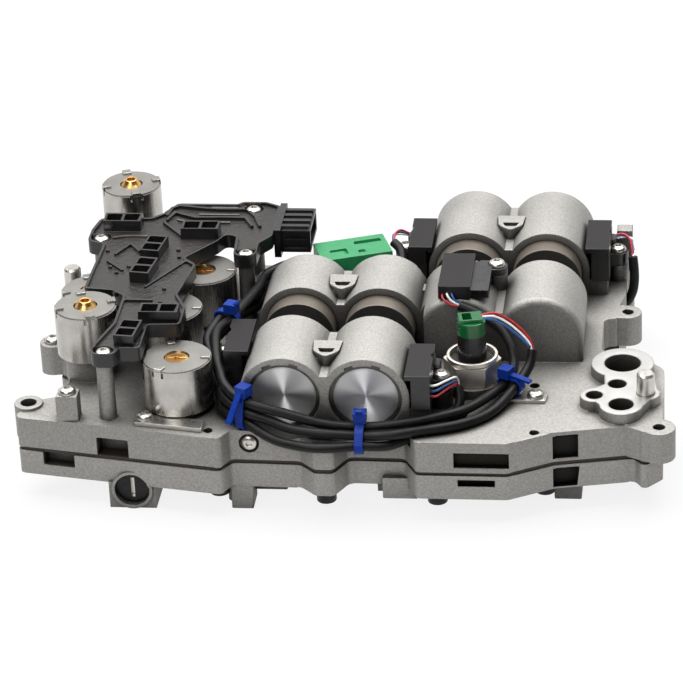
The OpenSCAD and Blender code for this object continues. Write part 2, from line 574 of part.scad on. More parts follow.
module solenoid_can_2() small_can(small_at[1]);
module solenoid_can_3() small_can(small_at[2]);
module solenoid_can_4() large_can(large_at[0]);
module solenoid_can_5() large_can(large_at[1]);
module solenoid_can_6() large_can(large_at[2]);
module solenoid_pole_1() small_pole(small_at[0]);
module solenoid_pole_2() small_pole(small_at[1]);
module solenoid_pole_3() small_pole(small_at[2]);
module solenoid_pole_4() large_pole(large_at[0]);
module solenoid_pole_5() large_pole(large_at[1]);
module solenoid_pole_6() large_pole(large_at[2]);

module solenoid_clamp() color("gainsboro") difference() {
    translate([0, 0, deck_z]) linear_extrude(2.5)
        polygon([[-112, -104.5], [-74, -111], [-74, -101], [-112, -94.5]]);
    translate([-107, -99.5, deck_z - 1]) cylinder(r = screw_r + 0.3, h = 10, $fn = 24);
    translate([large_at[2].x, large_at[2].y, deck_z - 1]) cylinder(r = 16 + fit_gap, h = 10);
}

module socket(x, y, w, d, turn) {
    translate([x, y, frame_top - 1]) rotate(turn) difference() {
        translate([-w / 2, -d / 2, 0]) cube([w, d, 8]);
        for (k = [-1, 1]) translate([k * (w > d ? w / 4 - 0.3 : 0), k * (w > d ? 0 : d / 4 - 0.3), 2])
            translate([-(w > d ? w / 2 - 2.4 : w - 2.4) / 2, -(w > d ? d - 2.4 : d / 2 - 2.4) / 2, 0])
                cube([w > d ? w / 2 - 2.4 : w - 2.4, w > d ? d - 2.4 : d / 2 - 2.4, 10]);
    }
}
module rib(p, q, w, h) {
    d = unit(q - p);
    n = [-d.y, d.x] * w / 2;
    translate([0, 0, frame_top - 1]) linear_extrude(h + 1) polygon([p + n, p - n, q - n, q + n]);
}
module lead_frame() color("dimgray") difference() {
    union() {
        translate([0, 0, frame_z]) linear_extrude(frame_t) polygon(rounded(frame_pts));
        translate([0, 0, frame_top - 1]) linear_extrude(2.6) difference() {
            polygon(rounded(frame_pts));
            offset(delta = -1.7) polygon(rounded(frame_pts));
        }
        socket(-142, 57, 22, 11, 0);
        socket(-95, 48, 22, 11, 0);
        socket(-118.5, 24, 11.5, 20, -8);
        socket(-120, -4, 11.5, 20, -8);
        socket(-103, -56, 22, 11, 0);
        socket(-116.5, -80, 11.5, 20, -6);
        rib([-141, 20], [-134, 34], 1.6, 1.6);
        rib([-134, 34], [-127, 24], 1.6, 1.6);
        rib([-144, 12], [-133, 0], 1.6, 1.6);
        rib([-117, -20], [-98, 14], 1.6, 1.6);
        for (path = frame_beads) for (i = [1:len(path) - 1]) {
            rib(path[i - 1], path[i], 1.8, 1.8);
            translate([path[i].x, path[i].y, frame_top - 1]) cylinder(r = 0.9, h = 2.8, $fn = 12);
        }
        for (p = frame_pips) translate([p.x, p.y, frame_top - 1])
            cylinder(r1 = 1.4, r2 = 1, h = 2.6, $fn = 12);
        rib([-126, -36], [-110, -36], 1.6, 1.6);
    }
    for (p = frame_screws) translate([p.x, p.y, frame_z - 1]) cylinder(r = screw_r + 0.3, h = 30, $fn = 24);
    for (p = frame_screws) translate([p.x, p.y, frame_top - 2]) cylinder(r = head_r + 1, h = 30, $fn = 32);
}
module conductor_strips() color("gainsboro") translate([0, 0, frame_top]) linear_extrude(1) {
    polygon([[-94, 82.4], [-78, 82.4], [-78, 83.8], [-94, 83.8]]);
    polygon([[-100, 73], [-76, 73], [-76, 74.5], [-100, 74.5]]);
    polygon([[-112, 66], [-104, 63], [-80, 63], [-80, 64.5], [-104, 64.5], [-112, 67.5]]);
    polygon([[-146, 41.5], [-138, 44], [-126, 44], [-126, 45.5], [-138.4, 45.5], [-146, 43]]);
}
module frame_fasteners() color("white") for (p = frame_screws)
    translate([p.x, p.y, frame_top - 2]) screw(14);

module main_connector() color("black") difference() {
    union() {
        translate([-53, 50, frame_z - 8]) cube([4, 36, 18]);
        translate([-49, 53, frame_z - 6]) cube([17, 30, 14]);
        for (y = [56, 63, 70, 77]) translate([-49, y, frame_z + 7]) cube([16, 3, 2.5]);
    }
    translate([-44, 55.5, frame_z - 4]) cube([20, 25, 10]);
    for (z = [-3, 2.5]) translate([-47, 52, frame_z + z]) cube([13, 2, 1.6]);
}

// Position sensor beside a rail
module side_sensor(s) color("dimgray") translate([rail_x[s[0]], s[2], 0]) scale([s[1], 1, 1]) difference() {
    union() {
        translate([sens_in, 0, sens_z]) cube([sens_w, sens_l, sens_h]);
        translate([sens_in - 3.4, 0, sens_z + sens_h - 3]) cube([5, sens_l, 3]);
        translate([sens_in + 4, lug_y - 6, lug_z]) cube([lug_x - sens_in - 4, 12, lug_t]);
        translate([lug_x, lug_y, lug_z]) cylinder(r = 6, h = lug_t);
        translate([sens_in + sens_w - 1, lug_y + 4, lug_z]) cube([4, 8, 12]);
    }
    translate([lug_x, lug_y, lug_z - 1]) cylinder(r = screw_r + 0.3, h = 20, $fn = 24);
    translate([lug_x, lug_y, lug_z + lug_t]) cylinder(r = head_r + 0.4, h = 30, $fn = 32);
}
module position_sensor_1() side_sensor(side_sensors[0]);
module position_sensor_2() side_sensor(side_sensors[1]);
module position_sensor_4() side_sensor(side_sensors[2]);
module position_sensor_5() side_sensor(side_sensors[3]);
// Position sensor on top of the third rail's closed cylinder
module position_sensor_3() color("dimgray") difference() {
    x = top_sensor[0];
    y = top_sensor[1];
    z = top_sensor[2];
    union() {
        translate([x[0], y[0], z]) cube([x[1] - x[0], y[1] - y[0], 8]);
        translate([x[1] - 1, y[0] + 2, z]) cube([11, y[1] - y[0] - 6, 5]);
        translate([top_lug.x - 10, top_lug.y - 6, z]) cube([10, 12, 4]);
        translate([top_lug.x, top_lug.y, z]) cylinder(r = 6, h = 4);
    }
    translate([top_lug.x, top_lug.y, z - 1]) cylinder(r = screw_r + 0.3, h = 20, $fn = 24);
    translate([top_lug.x, top_lug.y, z + 4]) cylinder(r = head_r + 0.4, h = 20, $fn = 32);
}
module sensor_screws() color("white") {
    for (s = side_sensors) translate([rail_x[s[0]] + s[1] * lug_x, s[2] + lug_y, lug_z + lug_t]) screw(14);
    translate([top_lug.x, top_lug.y, top_sensor[2] + 4]) screw(14);
}

module fluid_sensor_body() color("silver") translate([fluid_at.x, fluid_at.y, fluid_seat]) difference() {
    union() {
        translate([0, 0, -18]) cylinder(r = 9, h = 18.5);
        cylinder(r = 16.2, h = 12, $fn = 6);
        translate([0, 0, 11]) cylinder(r = 13.4, h = 2);
        translate([0, 0, 12.5]) cylinder(r = 14.2, h = 2.5);
    }
    translate([0, 0, 10]) cylinder(r = 12.4, h = 10);
    translate([0, 0, -20]) cylinder(r = 2.5, h = 40, $fn = 24);
}
module fluid_sensor_stem() color("black") translate([fluid_at.x, fluid_at.y, fluid_seat + 10]) {
    cylinder(r = 12.1, h = 2);
    cylinder(r = 8, h = 18);
}
module fluid_sensor_plug() color("green")
    translate([fluid_at.x, fluid_at.y, fluid_seat + 28]) rotate(12) difference() {
    union() {
        intersection() {
            cylinder(r = 8.2, h = 8);
            translate([-7.4, -9, 0]) cube([14.8, 18, 9]);
        }
        translate([-7, -5, 7]) cube([13, 10, 3]);
    }
    translate([-5, -4, 6]) cube([5, 8, 10]);
    for (z = [1.2, 3.2, 5.2]) translate([-9, -5, z]) cube([2.4, 10, 0.9]);
}

module harness_plug() color("mediumseagreen")
    translate([plug_at.x, plug_at.y, plug_z]) rotate(plug_turn) difference() {
    translate([-plug_w / 2, -plug_d / 2, 0]) cube([plug_w, plug_d, plug_h]);
    translate([2, 3, plug_h - 2]) cube([16, 4, 5]);
    translate([-14, -3, plug_h - 2]) cube([10, 3, 5]);
    translate([-6, -7, plug_h - 2]) cube([2, 7, 5]);
    translate([2, -8, plug_h - 2]) cube([4, 4, 5]);
    translate([-plug_w / 2 + 4, -plug_d / 2 - 1, 4]) cube([plug_w - 8, 3, 5]);
}

module cable_1() color([0.15, 0.15, 0.15]) translate([0, 0, lift]) tube(run_1, cable_r, [0, 0, 1]);
module cable_2() color([0.15, 0.15, 0.15]) translate([0, 0, lift]) tube(run_2, cable_r, [0.3, 1, 0.6]);
module cable_3() color([0.15, 0.15, 0.15]) translate([0, 0, lift]) tube(run_3, cable_r, [0, 0, 1]);
module cable_4() color([0.15, 0.15, 0.15]) translate([0, 0, lift]) tube(run_4, cable_r, [0, 0, 1]);
module cable_5() color([0.15, 0.15, 0.15]) translate([0, 0, lift]) tube(run_5, cable_r, [1, 0.3, 0]);

// Tie: strap round its cables, head on the first one, tail
module tie(t, tail) {
    head = t[2][0] + [0, cable_r + tie_gap + 0.4];
    span = concat(t[2], [t[2][0] + [0.1, 0.1]]);
    translate(t[0] + [0, 0, lift]) rotate(t[1]) rotate([90, 0, 90]) translate([0, 0, -tie_w / 2]) {
        linear_extrude(tie_w) difference() {
            offset(r = cable_r + tie_gap + tie_t, $fn = 24) hull() polygon(span);
            offset(r = cable_r + tie_gap, $fn = 24) hull() polygon(span);
        }
        translate([head.x - 3.5, head.y, -1.2]) cube([7, 6, tie_w + 2.4]);
        translate([head.x + tail[0], head.y + tail[1], 0.6]) rotate(tail[3])
            cube([tail[2], 1.4, tie_w - 1.2]);
    }
}
module cable_ties() color("blue") for (k = [0:3]) tie(ties[k], tails[k]);

module tie_bracket() color("silver") difference() {
    translate([0, 0, deck_z]) linear_extrude(2)
        polygon([[86, -72], [111, -72], [112, -63], [98, -62], [86, -64]]);
    translate([105.5, -67, deck_z - 1]) cylinder(r = screw_r + 0.3, h = 10, $fn = 24);
}
module body_screws() color("white") {
    translate([105.5, -67, deck_z + 2]) screw(12);
    translate([-107, -99.5, deck_z + 2.5]) screw(12);
    translate([left_ear.x, left_ear.y, deck_z]) screw(12);
    translate([block_at.x, block_at.y, deck_z + block_h]) screw(10);
    translate([-48.7, -105.5, deck_z - 8]) rotate([90, 0, 0]) screw(10);
}

module spool_plug() color("gainsboro") difference() {
    rod([spool_x, spool_y0, spool_z], plug_r, plug_t);
    translate([spool_x - 1, spool_y0 - 1, spool_z - 6]) cube([2, 3.5, 12]);
}
module spool() color("silver") translate([spool_x, spool_y0 + plug_t + 1, spool_z]) rotate([-90, 0, 0])
    rotate_extrude($fn = 48)
    polygon([[0, 0], [4, 0], [4, 2], [spool_r, 2], [spool_r, 12], [4, 12], [4, 18], [spool_r, 18],
             [spool_r, 28], [4, 28], [4, 33], [spool_r, 33], [spool_r, spool_l], [0, spool_l]]);
module spool_spring() color("gray") {
    n = spring_turns * 4;
    y = spool_y0 + plug_t + 1 + spool_l + 1;
    tube([for (i = [0:n])
              [spool_x + 4.6 * cos(i * 90), y + i / n * (spring_l - 1), spool_z + 4.6 * sin(i * 90)]],
         0.8, [0, 1, 0], 6);
}

lower_body();
separator_plate();
upper_body();
clamp_bolts();
dowel_pins();
shift_piston_1();
shift_piston_2();
shift_piston_3();
shift_piston_4();
piston_seals_1();
piston_seals_2();
piston_seals_3();
piston_seals_4();
end_caps();
cap_rings();
solenoid_can_1();
solenoid_can_2();
solenoid_can_3();
solenoid_can_4();
solenoid_can_5();
solenoid_can_6();
solenoid_pole_1();
solenoid_pole_2();
solenoid_pole_3();
solenoid_pole_4();
solenoid_pole_5();
solenoid_pole_6();
solenoid_clamp();
lead_frame();
conductor_strips();
frame_fasteners();
main_connector();
position_sensor_1();
position_sensor_2();
position_sensor_3();
position_sensor_4();
position_sensor_5();
sensor_screws();
fluid_sensor_body();
fluid_sensor_stem();
fluid_sensor_plug();
harness_plug();
cable_1();
cable_2();
cable_3();
cable_4();
cable_5();
cable_ties();
tie_bracket();
body_screws();
spool_plug();
spool();
spool_spring();
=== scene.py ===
"""Valve body of a transmission: its finishes and fine pieces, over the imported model."""

import math

import bpy
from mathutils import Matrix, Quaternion, Vector
from mathutils.bvhtree import BVHTree
from mathutils.kdtree import KDTree


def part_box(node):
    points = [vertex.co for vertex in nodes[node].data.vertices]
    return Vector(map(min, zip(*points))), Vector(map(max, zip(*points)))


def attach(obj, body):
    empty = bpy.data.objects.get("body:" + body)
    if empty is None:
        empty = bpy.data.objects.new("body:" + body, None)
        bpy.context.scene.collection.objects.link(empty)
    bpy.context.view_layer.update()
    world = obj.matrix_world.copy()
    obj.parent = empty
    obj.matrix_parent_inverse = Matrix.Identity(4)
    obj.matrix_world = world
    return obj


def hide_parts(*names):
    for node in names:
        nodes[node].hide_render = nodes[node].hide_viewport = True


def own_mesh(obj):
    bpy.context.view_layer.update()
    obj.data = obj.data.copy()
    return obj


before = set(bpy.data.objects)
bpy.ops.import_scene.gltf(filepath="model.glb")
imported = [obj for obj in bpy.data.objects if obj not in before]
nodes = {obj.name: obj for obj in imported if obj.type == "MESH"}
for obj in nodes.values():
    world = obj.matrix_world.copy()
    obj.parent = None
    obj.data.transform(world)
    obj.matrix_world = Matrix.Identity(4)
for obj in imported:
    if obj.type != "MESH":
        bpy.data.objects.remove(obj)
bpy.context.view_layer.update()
scene = bpy.context.scene
bpy.ops.object.select_all(action="DESELECT")


# Camera: a long lens in front of the part, a little to its right and well above it,
# with the slight roll of the photograph.
lens = bpy.data.cameras.new("camera")
lens.sensor_width = 36.0
lens.lens = 184.48
camera = bpy.data.objects.new("camera", lens)
scene.collection.objects.link(camera)
camera.location = (0.226732, -1.747860, 0.986002)
camera.rotation_mode = "QUATERNION"
aim = Vector((-0.1183028, 0.8749862, -0.4694716)).to_track_quat("-Z", "Y")
roll = math.radians(-2.8)
camera.rotation_quaternion = aim @ Quaternion((0, 0, 1), roll)
scene.camera = camera


# Sensor leads: the wires of four position sensors and the fluid sensor, in black PVC sheaths extruded to
# 5.5 mm. Ties hold the three long ones over the front of the casting. Four of the five end in the harness
# plug, and the last one in a recess of the right-hand wall.
def linear(code):
    """Linear colour of an sRGB hex value."""
    values = [int(code[i:i + 2], 16) / 255 for i in (1, 3, 5)]
    return [v / 12.92 if v <= 0.04045 else ((v + 0.055) / 1.055) ** 2.4 for v in values] + [1.0]


def bare(name):
    """Start a material with no nodes in it yet."""
    material = bpy.data.materials.new(name)
    material.use_nodes = True
    material.node_tree.nodes.clear()
    return material


def put(material, kind, sockets=None, **settings):
    """Add one node with its settings, and give its sockets their values or links."""
    node = material.node_tree.nodes.new(kind)
    for name, value in settings.items():
        setattr(node, name, value)
    for name, value in (sockets or {}).items():
        if isinstance(value, bpy.types.NodeSocket):
            material.node_tree.links.new(value, node.inputs[name])
        else:
            node.inputs[name].default_value = value
    return node


# PVC sheath: near black, satin, dulled by handling, with faint ripples from the extruder.
sheath = bare("extruded_pvc_sheath")
place = put(sheath, "ShaderNodeTexCoord").outputs["Object"]
dust = put(sheath, "ShaderNodeTexNoise", {"Vector": place, "Scale": 1 / 0.004, "Detail": 5.0})
ripple = put(sheath, "ShaderNodeTexNoise", {"Vector": place, "Scale": 1 / 0.0018, "Detail": 2.0})
# Sockets 0, 6 and 7 of a colour mix are its factor and its two colours, and output 2 is the colour.
shade = put(sheath, "ShaderNodeMix", {0: dust.outputs[0], 6: linear("#080708"), 7: linear("#171516")},
            data_type="RGBA")
wear = put(sheath, "ShaderNodeMapRange", {"Value": dust.outputs[0], "From Min": 0.3, "From Max": 0.7,
                                          "To Min": 0.34, "To Max": 0.52})
relief = put(sheath, "ShaderNodeBump", {"Height": ripple.outputs[0], "Strength": 0.12,
                                        "Distance": 0.0004})
skin = put(sheath, "ShaderNodeBsdfPrincipled", {"Base Color": shade.outputs[2],
                                                "Roughness": wear.outputs[0],
                                                "IOR": 1.53, "Specular IOR Level": 0.2,
                                                "Normal": relief.outputs[0]})
put(sheath, "ShaderNodeOutputMaterial", {"Surface": skin.outputs[0]})

# Ties, in mm: middle, turn in degrees, and where each lead sits in it, across and up.
ties = (((-70, -27, 74), 72, ((-3, 3.2), (3, 3.2), (0, -2.7))),
        ((-50.5, -103.8, 61), -30, ((-0.1, 5.2), (-1, -0.6), (-1.6, -6.4))),
        ((13, -113.5, 50.5), 0, ((5.6, 3.2), (0, 0.9), (-3.6, -3.7))),
        ((92, -64, 57.5), 62, ((3.2, 0), (-3.2, 0))))


def in_tie(tie, lead):
    """Point at which a lead passes through a tie."""
    (x, y, z), turn, seats = ties[tie]
    across, up = seats[lead]
    turn = math.radians(turn)
    return x - across * math.sin(turn), y + across * math.cos(turn), z + up


# Harness plug, in mm: its middle, its turn in degrees and half its length.
plug_x, plug_y, plug_turn, plug_half = -8, 57, 20, 21


def into_plug(out, across, z):
    """Point in front of the harness plug's left end."""
    turn = math.radians(plug_turn)
    along = -plug_half - out
    return (plug_x + along * math.cos(turn) - across * math.sin(turn),
            plug_y + along * math.sin(turn) + across * math.cos(turn), z)


routes = (
    ((61, -27, 86.5), (74, -30, 81.5), (85, -35, 75.5), (91, -42.5, 68.5), (92.6, -51, 61.5),
     in_tie(3, 0), (72, -89, 56.8), (56, -99.6, 56.4), (34, -106, 54.8), in_tie(2, 0), (-8, -109, 56),
     (-28, -108.3, 61.5), in_tie(1, 0), (-62.5, -91, 68.5), (-67.2, -79, 71.5), (-71.2, -64, 75.5),
     (-73, -45, 77.8), in_tie(0, 0), (-60.8, -3, 77), (-57.4, 16, 75.3), (-56, 31, 74.6),
     (-44, 43, 75.6), into_plug(5, -2, 76.6), into_plug(0.4, -2, 76.6)),
    ((103, -49, 71), (101.3, -54, 63.5), in_tie(3, 1), (83, -88, 53.6), (67, -102.5, 53.4),
     (44, -111, 53.4), (28, -114, 52.2), in_tie(2, 1), (-6, -115.3, 53.2), (-24, -112, 54),
     (-37, -108, 57), in_tie(1, 1), (-64, -91, 61.7), (-66.6, -79, 65), (-73, -62, 69),
     (-78.8, -45, 73), in_tie(0, 1), (-66.6, -4, 72.4), (-59, 14, 69), (-57.6, 30, 68.4),
     (-44, 45, 69.3), into_plug(5, 0, 70.7), into_plug(0.4, 0, 70.7)),
    ((64, -77.5, 62.5), (65.2, -82.5, 56.5), (61.5, -88.5, 51), (51, -98, 49), (40, -107, 47.2),
     (28, -114.6, 46), in_tie(2, 2), (0, -120.6, 47.4), (-14, -120.8, 47.6), (-29, -115.8, 47.6),
     (-39, -112, 50), in_tie(1, 2), (-65, -91, 54.6), (-68, -77, 56.6), (-72.5, -64, 59.2),
     (-80, -48, 64.8), in_tie(0, 2), (-66, -4, 66), (-58.9, 15, 62.8), (-57.7, 30, 62),
     (-45, 47, 63), into_plug(5, 2, 64.8), into_plug(0.4, 2, 64.8)),
    ((14.5, 70.5, 76.5), (18.6, 66, 74.4), (20.6, 58.5, 71.2), (20, 49, 69), (16.8, 40.9, 68),
     (9, 37.6, 67.5), (1.2, 40.7, 67.5), (-1.7, 46, 67.5)),
    ((153.4, 75.5, 66.5), (154.2, 74, 60), (154.4, 72.5, 53), (153.6, 71.5, 46.6), (151.2, 71, 40.8),
     (148, 71, 37.2), (145.6, 71, 35.6)))


def lay(name, route, thick):
    """Round lead or wire on one smooth curve through the points of its route, in mm."""
    line = bpy.data.curves.new(name, "CURVE")
    line.dimensions = "3D"
    line.bevel_depth = thick / 2
    line.bevel_resolution = 5
    line.resolution_u = 8
    line.use_fill_caps = True
    spline = line.splines.new("BEZIER")
    spline.bezier_points.add(len(route) - 1)
    points = [Vector(p) / 1000 for p in route]
    # Handles of a sixth of the way between a point's neighbours give one smooth curve.
    for i, knot in enumerate(spline.bezier_points):
        reach = (points[min(i + 1, len(points) - 1)] - points[max(i - 1, 0)]) / 6
        knot.handle_left_type = knot.handle_right_type = "FREE"
        knot.co = points[i]
        knot.handle_left = points[i] - reach
        knot.handle_right = points[i] + reach
    lead = bpy.data.objects.new(name, line)
    scene.collection.objects.link(lead)
    return lead


for number, route in enumerate(routes, 1):
    lead = lay(f"sheathed_lead_{number}", route, 0.0055)
    lead.data.materials.append(sheath)
    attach(lead, "housing")
    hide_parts(f"cable_{number}")


# Lower casting: the aluminium half underneath, with the galleries, the feet and the spool bore.
# It is pressure die cast and shot blasted, and its edges keep the small radius of the die.
def sharp_edges(mesh, angle):
    """Edges of a mesh whose two faces meet at more than an angle, by number."""
    sides = {}
    for face in mesh.polygons:
        for corner in face.loop_indices:
            sides.setdefault(mesh.loops[corner].edge_index, []).append(face.normal)
    limit = math.cos(math.radians(angle))
    return [edge for edge, facing in sides.items()
            if len(facing) == 2 and facing[0].dot(facing[1]) < limit]


def misfits(mesh, walls, radius):
    """Places where a rounded mesh leaves its solid's walls or folds over."""
    furthest = radius * 0.45
    folded = -0.2
    places = []
    for corner in mesh.vertices:
        if walls.find_nearest(corner.co)[3] > furthest:
            places.append(corner.co.copy())
    for face in mesh.polygons:
        _, facing, _, off = walls.find_nearest(face.center)
        if off > furthest or face.normal.dot(facing) < folded:
            places.append(face.center.copy())
    return places


def rounded(node, radius, angle=35):
    """Copy of a CAD solid as one joined mesh, its edges rounded wherever there is room for it."""
    tries = 6
    same_place = 2e-6
    elbow_room = radius * 2.5
    tight = []
    for attempt in range(tries):
        piece = bpy.data.objects.new(node + "_finished", nodes[node].data.copy())
        scene.collection.objects.link(piece)
        piece.data.materials.clear()
        bpy.ops.object.select_all(action="DESELECT")
        piece.select_set(True)
        bpy.context.view_layer.objects.active = piece
        bpy.ops.object.mode_set(mode="EDIT")
        bpy.ops.mesh.select_all(action="SELECT")
        bpy.ops.mesh.remove_doubles(threshold=same_place)
        bpy.ops.mesh.customdata_custom_splitnormals_clear()
        bpy.ops.object.mode_set(mode="OBJECT")
        walls = BVHTree.FromObject(piece, bpy.context.evaluated_depsgraph_get())
        crowded = KDTree(len(tight))
        for number, place in enumerate(tight):
            crowded.insert(place, number)
        crowded.balance()
        weight = piece.data.attributes.new("bevel_weight_edge", "FLOAT", "EDGE")
        for number in sharp_edges(piece.data, angle):
            start, end = (piece.data.vertices[v].co for v in piece.data.edges[number].vertices)
            steps = int((end - start).length / radius) + 1
            along = [start.lerp(end, i / steps) for i in range(steps + 1)]
            if not tight or min(crowded.find(spot)[2] for spot in along) > elbow_room:
                weight.data[number].value = 1.0
        edges = piece.modifiers.new("edges", "BEVEL")
        edges.limit_method = "WEIGHT"
        edges.width = radius
        edges.segments = 2
        edges.use_clamp_overlap = False
        bpy.ops.object.modifier_apply(modifier="edges")
        worse = misfits(piece.data, walls, radius)
        if not worse:
            break
        # The edges near such a place stay sharp at the next try.
        tight += worse
        if attempt < tries - 1:
            bpy.data.meshes.remove(piece.data)
    bpy.ops.object.shade_smooth_by_angle(angle=math.radians(34))
    flats = piece.modifiers.new("flats", "WEIGHTED_NORMAL")
    flats.keep_sharp = True
    bpy.ops.object.modifier_apply(modifier="flats")
    return piece


def cast_aluminium(name, pale, dull, hollow_shade_colour):
    """Blasted die casting: soft grey sheen, cloudy tone, a fine grain, and painted shade in the corners
    and hollows.
    """
    casting = bare(name)
    place = put(casting, "ShaderNodeTexCoord").outputs["Object"]
    cloud = put(casting, "ShaderNodeTexNoise", {"Vector": place, "Scale": 1 / 0.028, "Detail": 4.0})
    # Blasted grit is near 0.3 mm and is drawn at 1.1 mm so that it shows in the render.
    grit = put(casting, "ShaderNodeTexNoise", {"Vector": place, "Scale": 1 / 0.0011, "Detail": 3.0})
    hollow = put(casting, "ShaderNodeAmbientOcclusion", {"Distance": 0.026}, samples=6)
    tone = put(casting, "ShaderNodeMix", {0: cloud.outputs[0], 6: linear(dull), 7: linear(pale)},
               data_type="RGBA")
    speck = put(casting, "ShaderNodeMapRange", {"Value": grit.outputs[0], "From Min": 0.35,
                                                "From Max": 0.65, "To Min": 0.82, "To Max": 1.08})
    grain = put(casting, "ShaderNodeMix", {0: 1.0, 6: tone.outputs[2], 7: speck.outputs[0]},
                data_type="RGBA", blend_type="MULTIPLY")
    # Painted shade: where ambient occlusion finds corners and hollows, the colour is darkened towards the
    # last colour given.
    hollow_shade = put(casting, "ShaderNodeMapRange", {"Value": hollow.outputs["AO"], "From Min": 0.25,
                                              "From Max": 0.85, "To Min": 1.0, "To Max": 0.0})
    colour = put(casting, "ShaderNodeMix", {0: hollow_shade.outputs[0], 6: grain.outputs[2], 7: linear(hollow_shade_colour)},
                 data_type="RGBA")
    satin = put(casting, "ShaderNodeMapRange", {"Value": cloud.outputs[0], "From Min": 0.3,
                                                "From Max": 0.7, "To Min": 0.56, "To Max": 0.68})
    relief = put(casting, "ShaderNodeBump", {"Height": grit.outputs[0], "Strength": 0.35,
                                             "Distance": 0.0003})
    metal = put(casting, "ShaderNodeBsdfPrincipled", {"Base Color": colour.outputs[2], "Metallic": 0.85,
                                                      "Roughness": satin.outputs[0],
                                                      "Normal": relief.outputs[0]})
    put(casting, "ShaderNodeOutputMaterial", {"Surface": metal.outputs[0]})
    return casting


# Shallow windows at the right of the front wall, in mm: middle, turn in degrees, half width, depth behind
# the middle, low and high z, each with 0.1 mm to spare.
windows = ((79, -116.5, 0, 15.1, 2.6, 34.4, 43.6), (124, -104, 12, 7.1, 5.1, 33.4, 47.6),
           (76, -116.5, 0, 10.1, 2.6, 22.9, 27.1), (124, -104, 12, 7.1, 5.1, 15.9, 27.6))


def in_window(spot):
    """Whether a point, in metres, is on the inner faces of one of these windows."""
    mouth = -6
    x, y, z = spot * 1000
    for middle_x, middle_y, turn, half, depth, low, high in windows:
        turn = math.radians(turn)
        across = (x - middle_x) * math.cos(turn) + (y - middle_y) * math.sin(turn)
        inward = (y - middle_y) * math.cos(turn) - (x - middle_x) * math.sin(turn)
        if abs(across) < half and mouth < inward < depth and low < z < high:
            return True
    return False


# The inner faces of these windows are painted near black: painted shade for deep openings.
painted_window_shade = cast_aluminium("window_shade_aluminium", "#33312F", "#211F1E", "#0D0C0C")
lower_casting = rounded("lower_body", 0.0007)
lower_casting.data.materials.append(cast_aluminium("die_cast_aluminium_dull", "#B6B4B0", "#93918D",
                                                   "#383533"))
lower_casting.data.materials.append(painted_window_shade)
for face in lower_casting.data.polygons:
    if in_window(face.center):
        face.material_index = 1
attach(lower_casting, "housing")
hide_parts("lower_body")


# Separator plate: rolled steel sheet between the two castings, cut to their outline.
# Its phosphated faces are almost black, and it shows as a dark line round the part.
plate = bare("phosphated_steel_sheet")
place = put(plate, "ShaderNodeTexCoord").outputs["Object"]
crystal = put(plate, "ShaderNodeTexNoise", {"Vector": place, "Scale": 1 / 0.0015, "Detail": 3.0})
shade = put(plate, "ShaderNodeMix", {0: crystal.outputs[0], 6: linear("#2A2523"), 7: linear("#4A423E")},
            data_type="RGBA")
metal = put(plate, "ShaderNodeBsdfPrincipled", {"Base Color": shade.outputs[2], "Metallic": 0.6,
                                                "Roughness": 0.55})
put(plate, "ShaderNodeOutputMaterial", {"Surface": metal.outputs[0]})
nodes["separator_plate"].data.materials.clear()
nodes["separator_plate"].data.materials.append(plate)


# Upper casting: the aluminium half that carries the four fork cylinders, the port pad and the bosses.
# It is die cast like the lower one, then milled on the pad.
# Milled aluminium: paler and brighter than the cast skin, with the rings of the cutter.
milled = bare("milled_aluminium")
place = put(milled, "ShaderNodeTexCoord").outputs["Object"]
# Scale of a wave texture that has one wave in a metre.
one_wave = 0.314
# The cutter leaves marks near 0.2 mm apart, drawn at 0.9 mm so that they show in the render.
passes = put(milled, "ShaderNodeTexWave", {"Vector": place, "Scale": one_wave / 0.0009, "Distortion": 1.5,
                                           "Detail": 2.0}, wave_type="RINGS", rings_direction="Z")
stain = put(milled, "ShaderNodeTexNoise", {"Vector": place, "Scale": 1 / 0.012, "Detail": 4.0})
shade = put(milled, "ShaderNodeMix", {0: stain.outputs[0], 6: linear("#A6A5A2"), 7: linear("#C6C5C2")},
            data_type="RGBA")
relief = put(milled, "ShaderNodeBump", {"Height": passes.outputs[1], "Strength": 0.1,
                                        "Distance": 0.0002})
metal = put(milled, "ShaderNodeBsdfPrincipled", {"Base Color": shade.outputs[2], "Metallic": 0.9,
                                                 "Roughness": 0.38, "Normal": relief.outputs[0]})
put(milled, "ShaderNodeOutputMaterial", {"Surface": metal.outputs[0]})

upper_casting = rounded("upper_body", 0.0007, angle=50)
upper_casting.data.materials.append(cast_aluminium("die_cast_aluminium", "#ABA9A5", "#918F8B",
                                                   "#343230"))
upper_casting.data.materials.append(milled)
upper_casting.data.materials.append(cast_aluminium("gap_shade_aluminium", "#9A9895", "#7B7976",
                                                   "#444240"))
upper_casting.data.materials.append(painted_window_shade)
pad_z, pad_left = 0.0565, 0.12
gaps_front, gaps_back, deck_z = -0.05, 0.07, 0.05
for face in upper_casting.data.polygons:
    at_pad = abs(face.center.z - pad_z) < 0.0003 and face.center.x > pad_left
    at_gap = gaps_front < face.center.y < gaps_back and face.center.z > deck_z
    if face.normal.z > 0.98 and at_pad:
        face.material_index = 1
    # The closed ends and the faces in the fork gaps face forward into shadow and take a darker copy of
    # the casting: painted shade.
    elif face.normal.y < -0.9 and at_gap:
        face.material_index = 2
    # Painted shade in the windows, as on the lower casting.
    elif in_window(face.center):
        face.material_index = 3
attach(upper_casting, "housing")
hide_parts("upper_body")


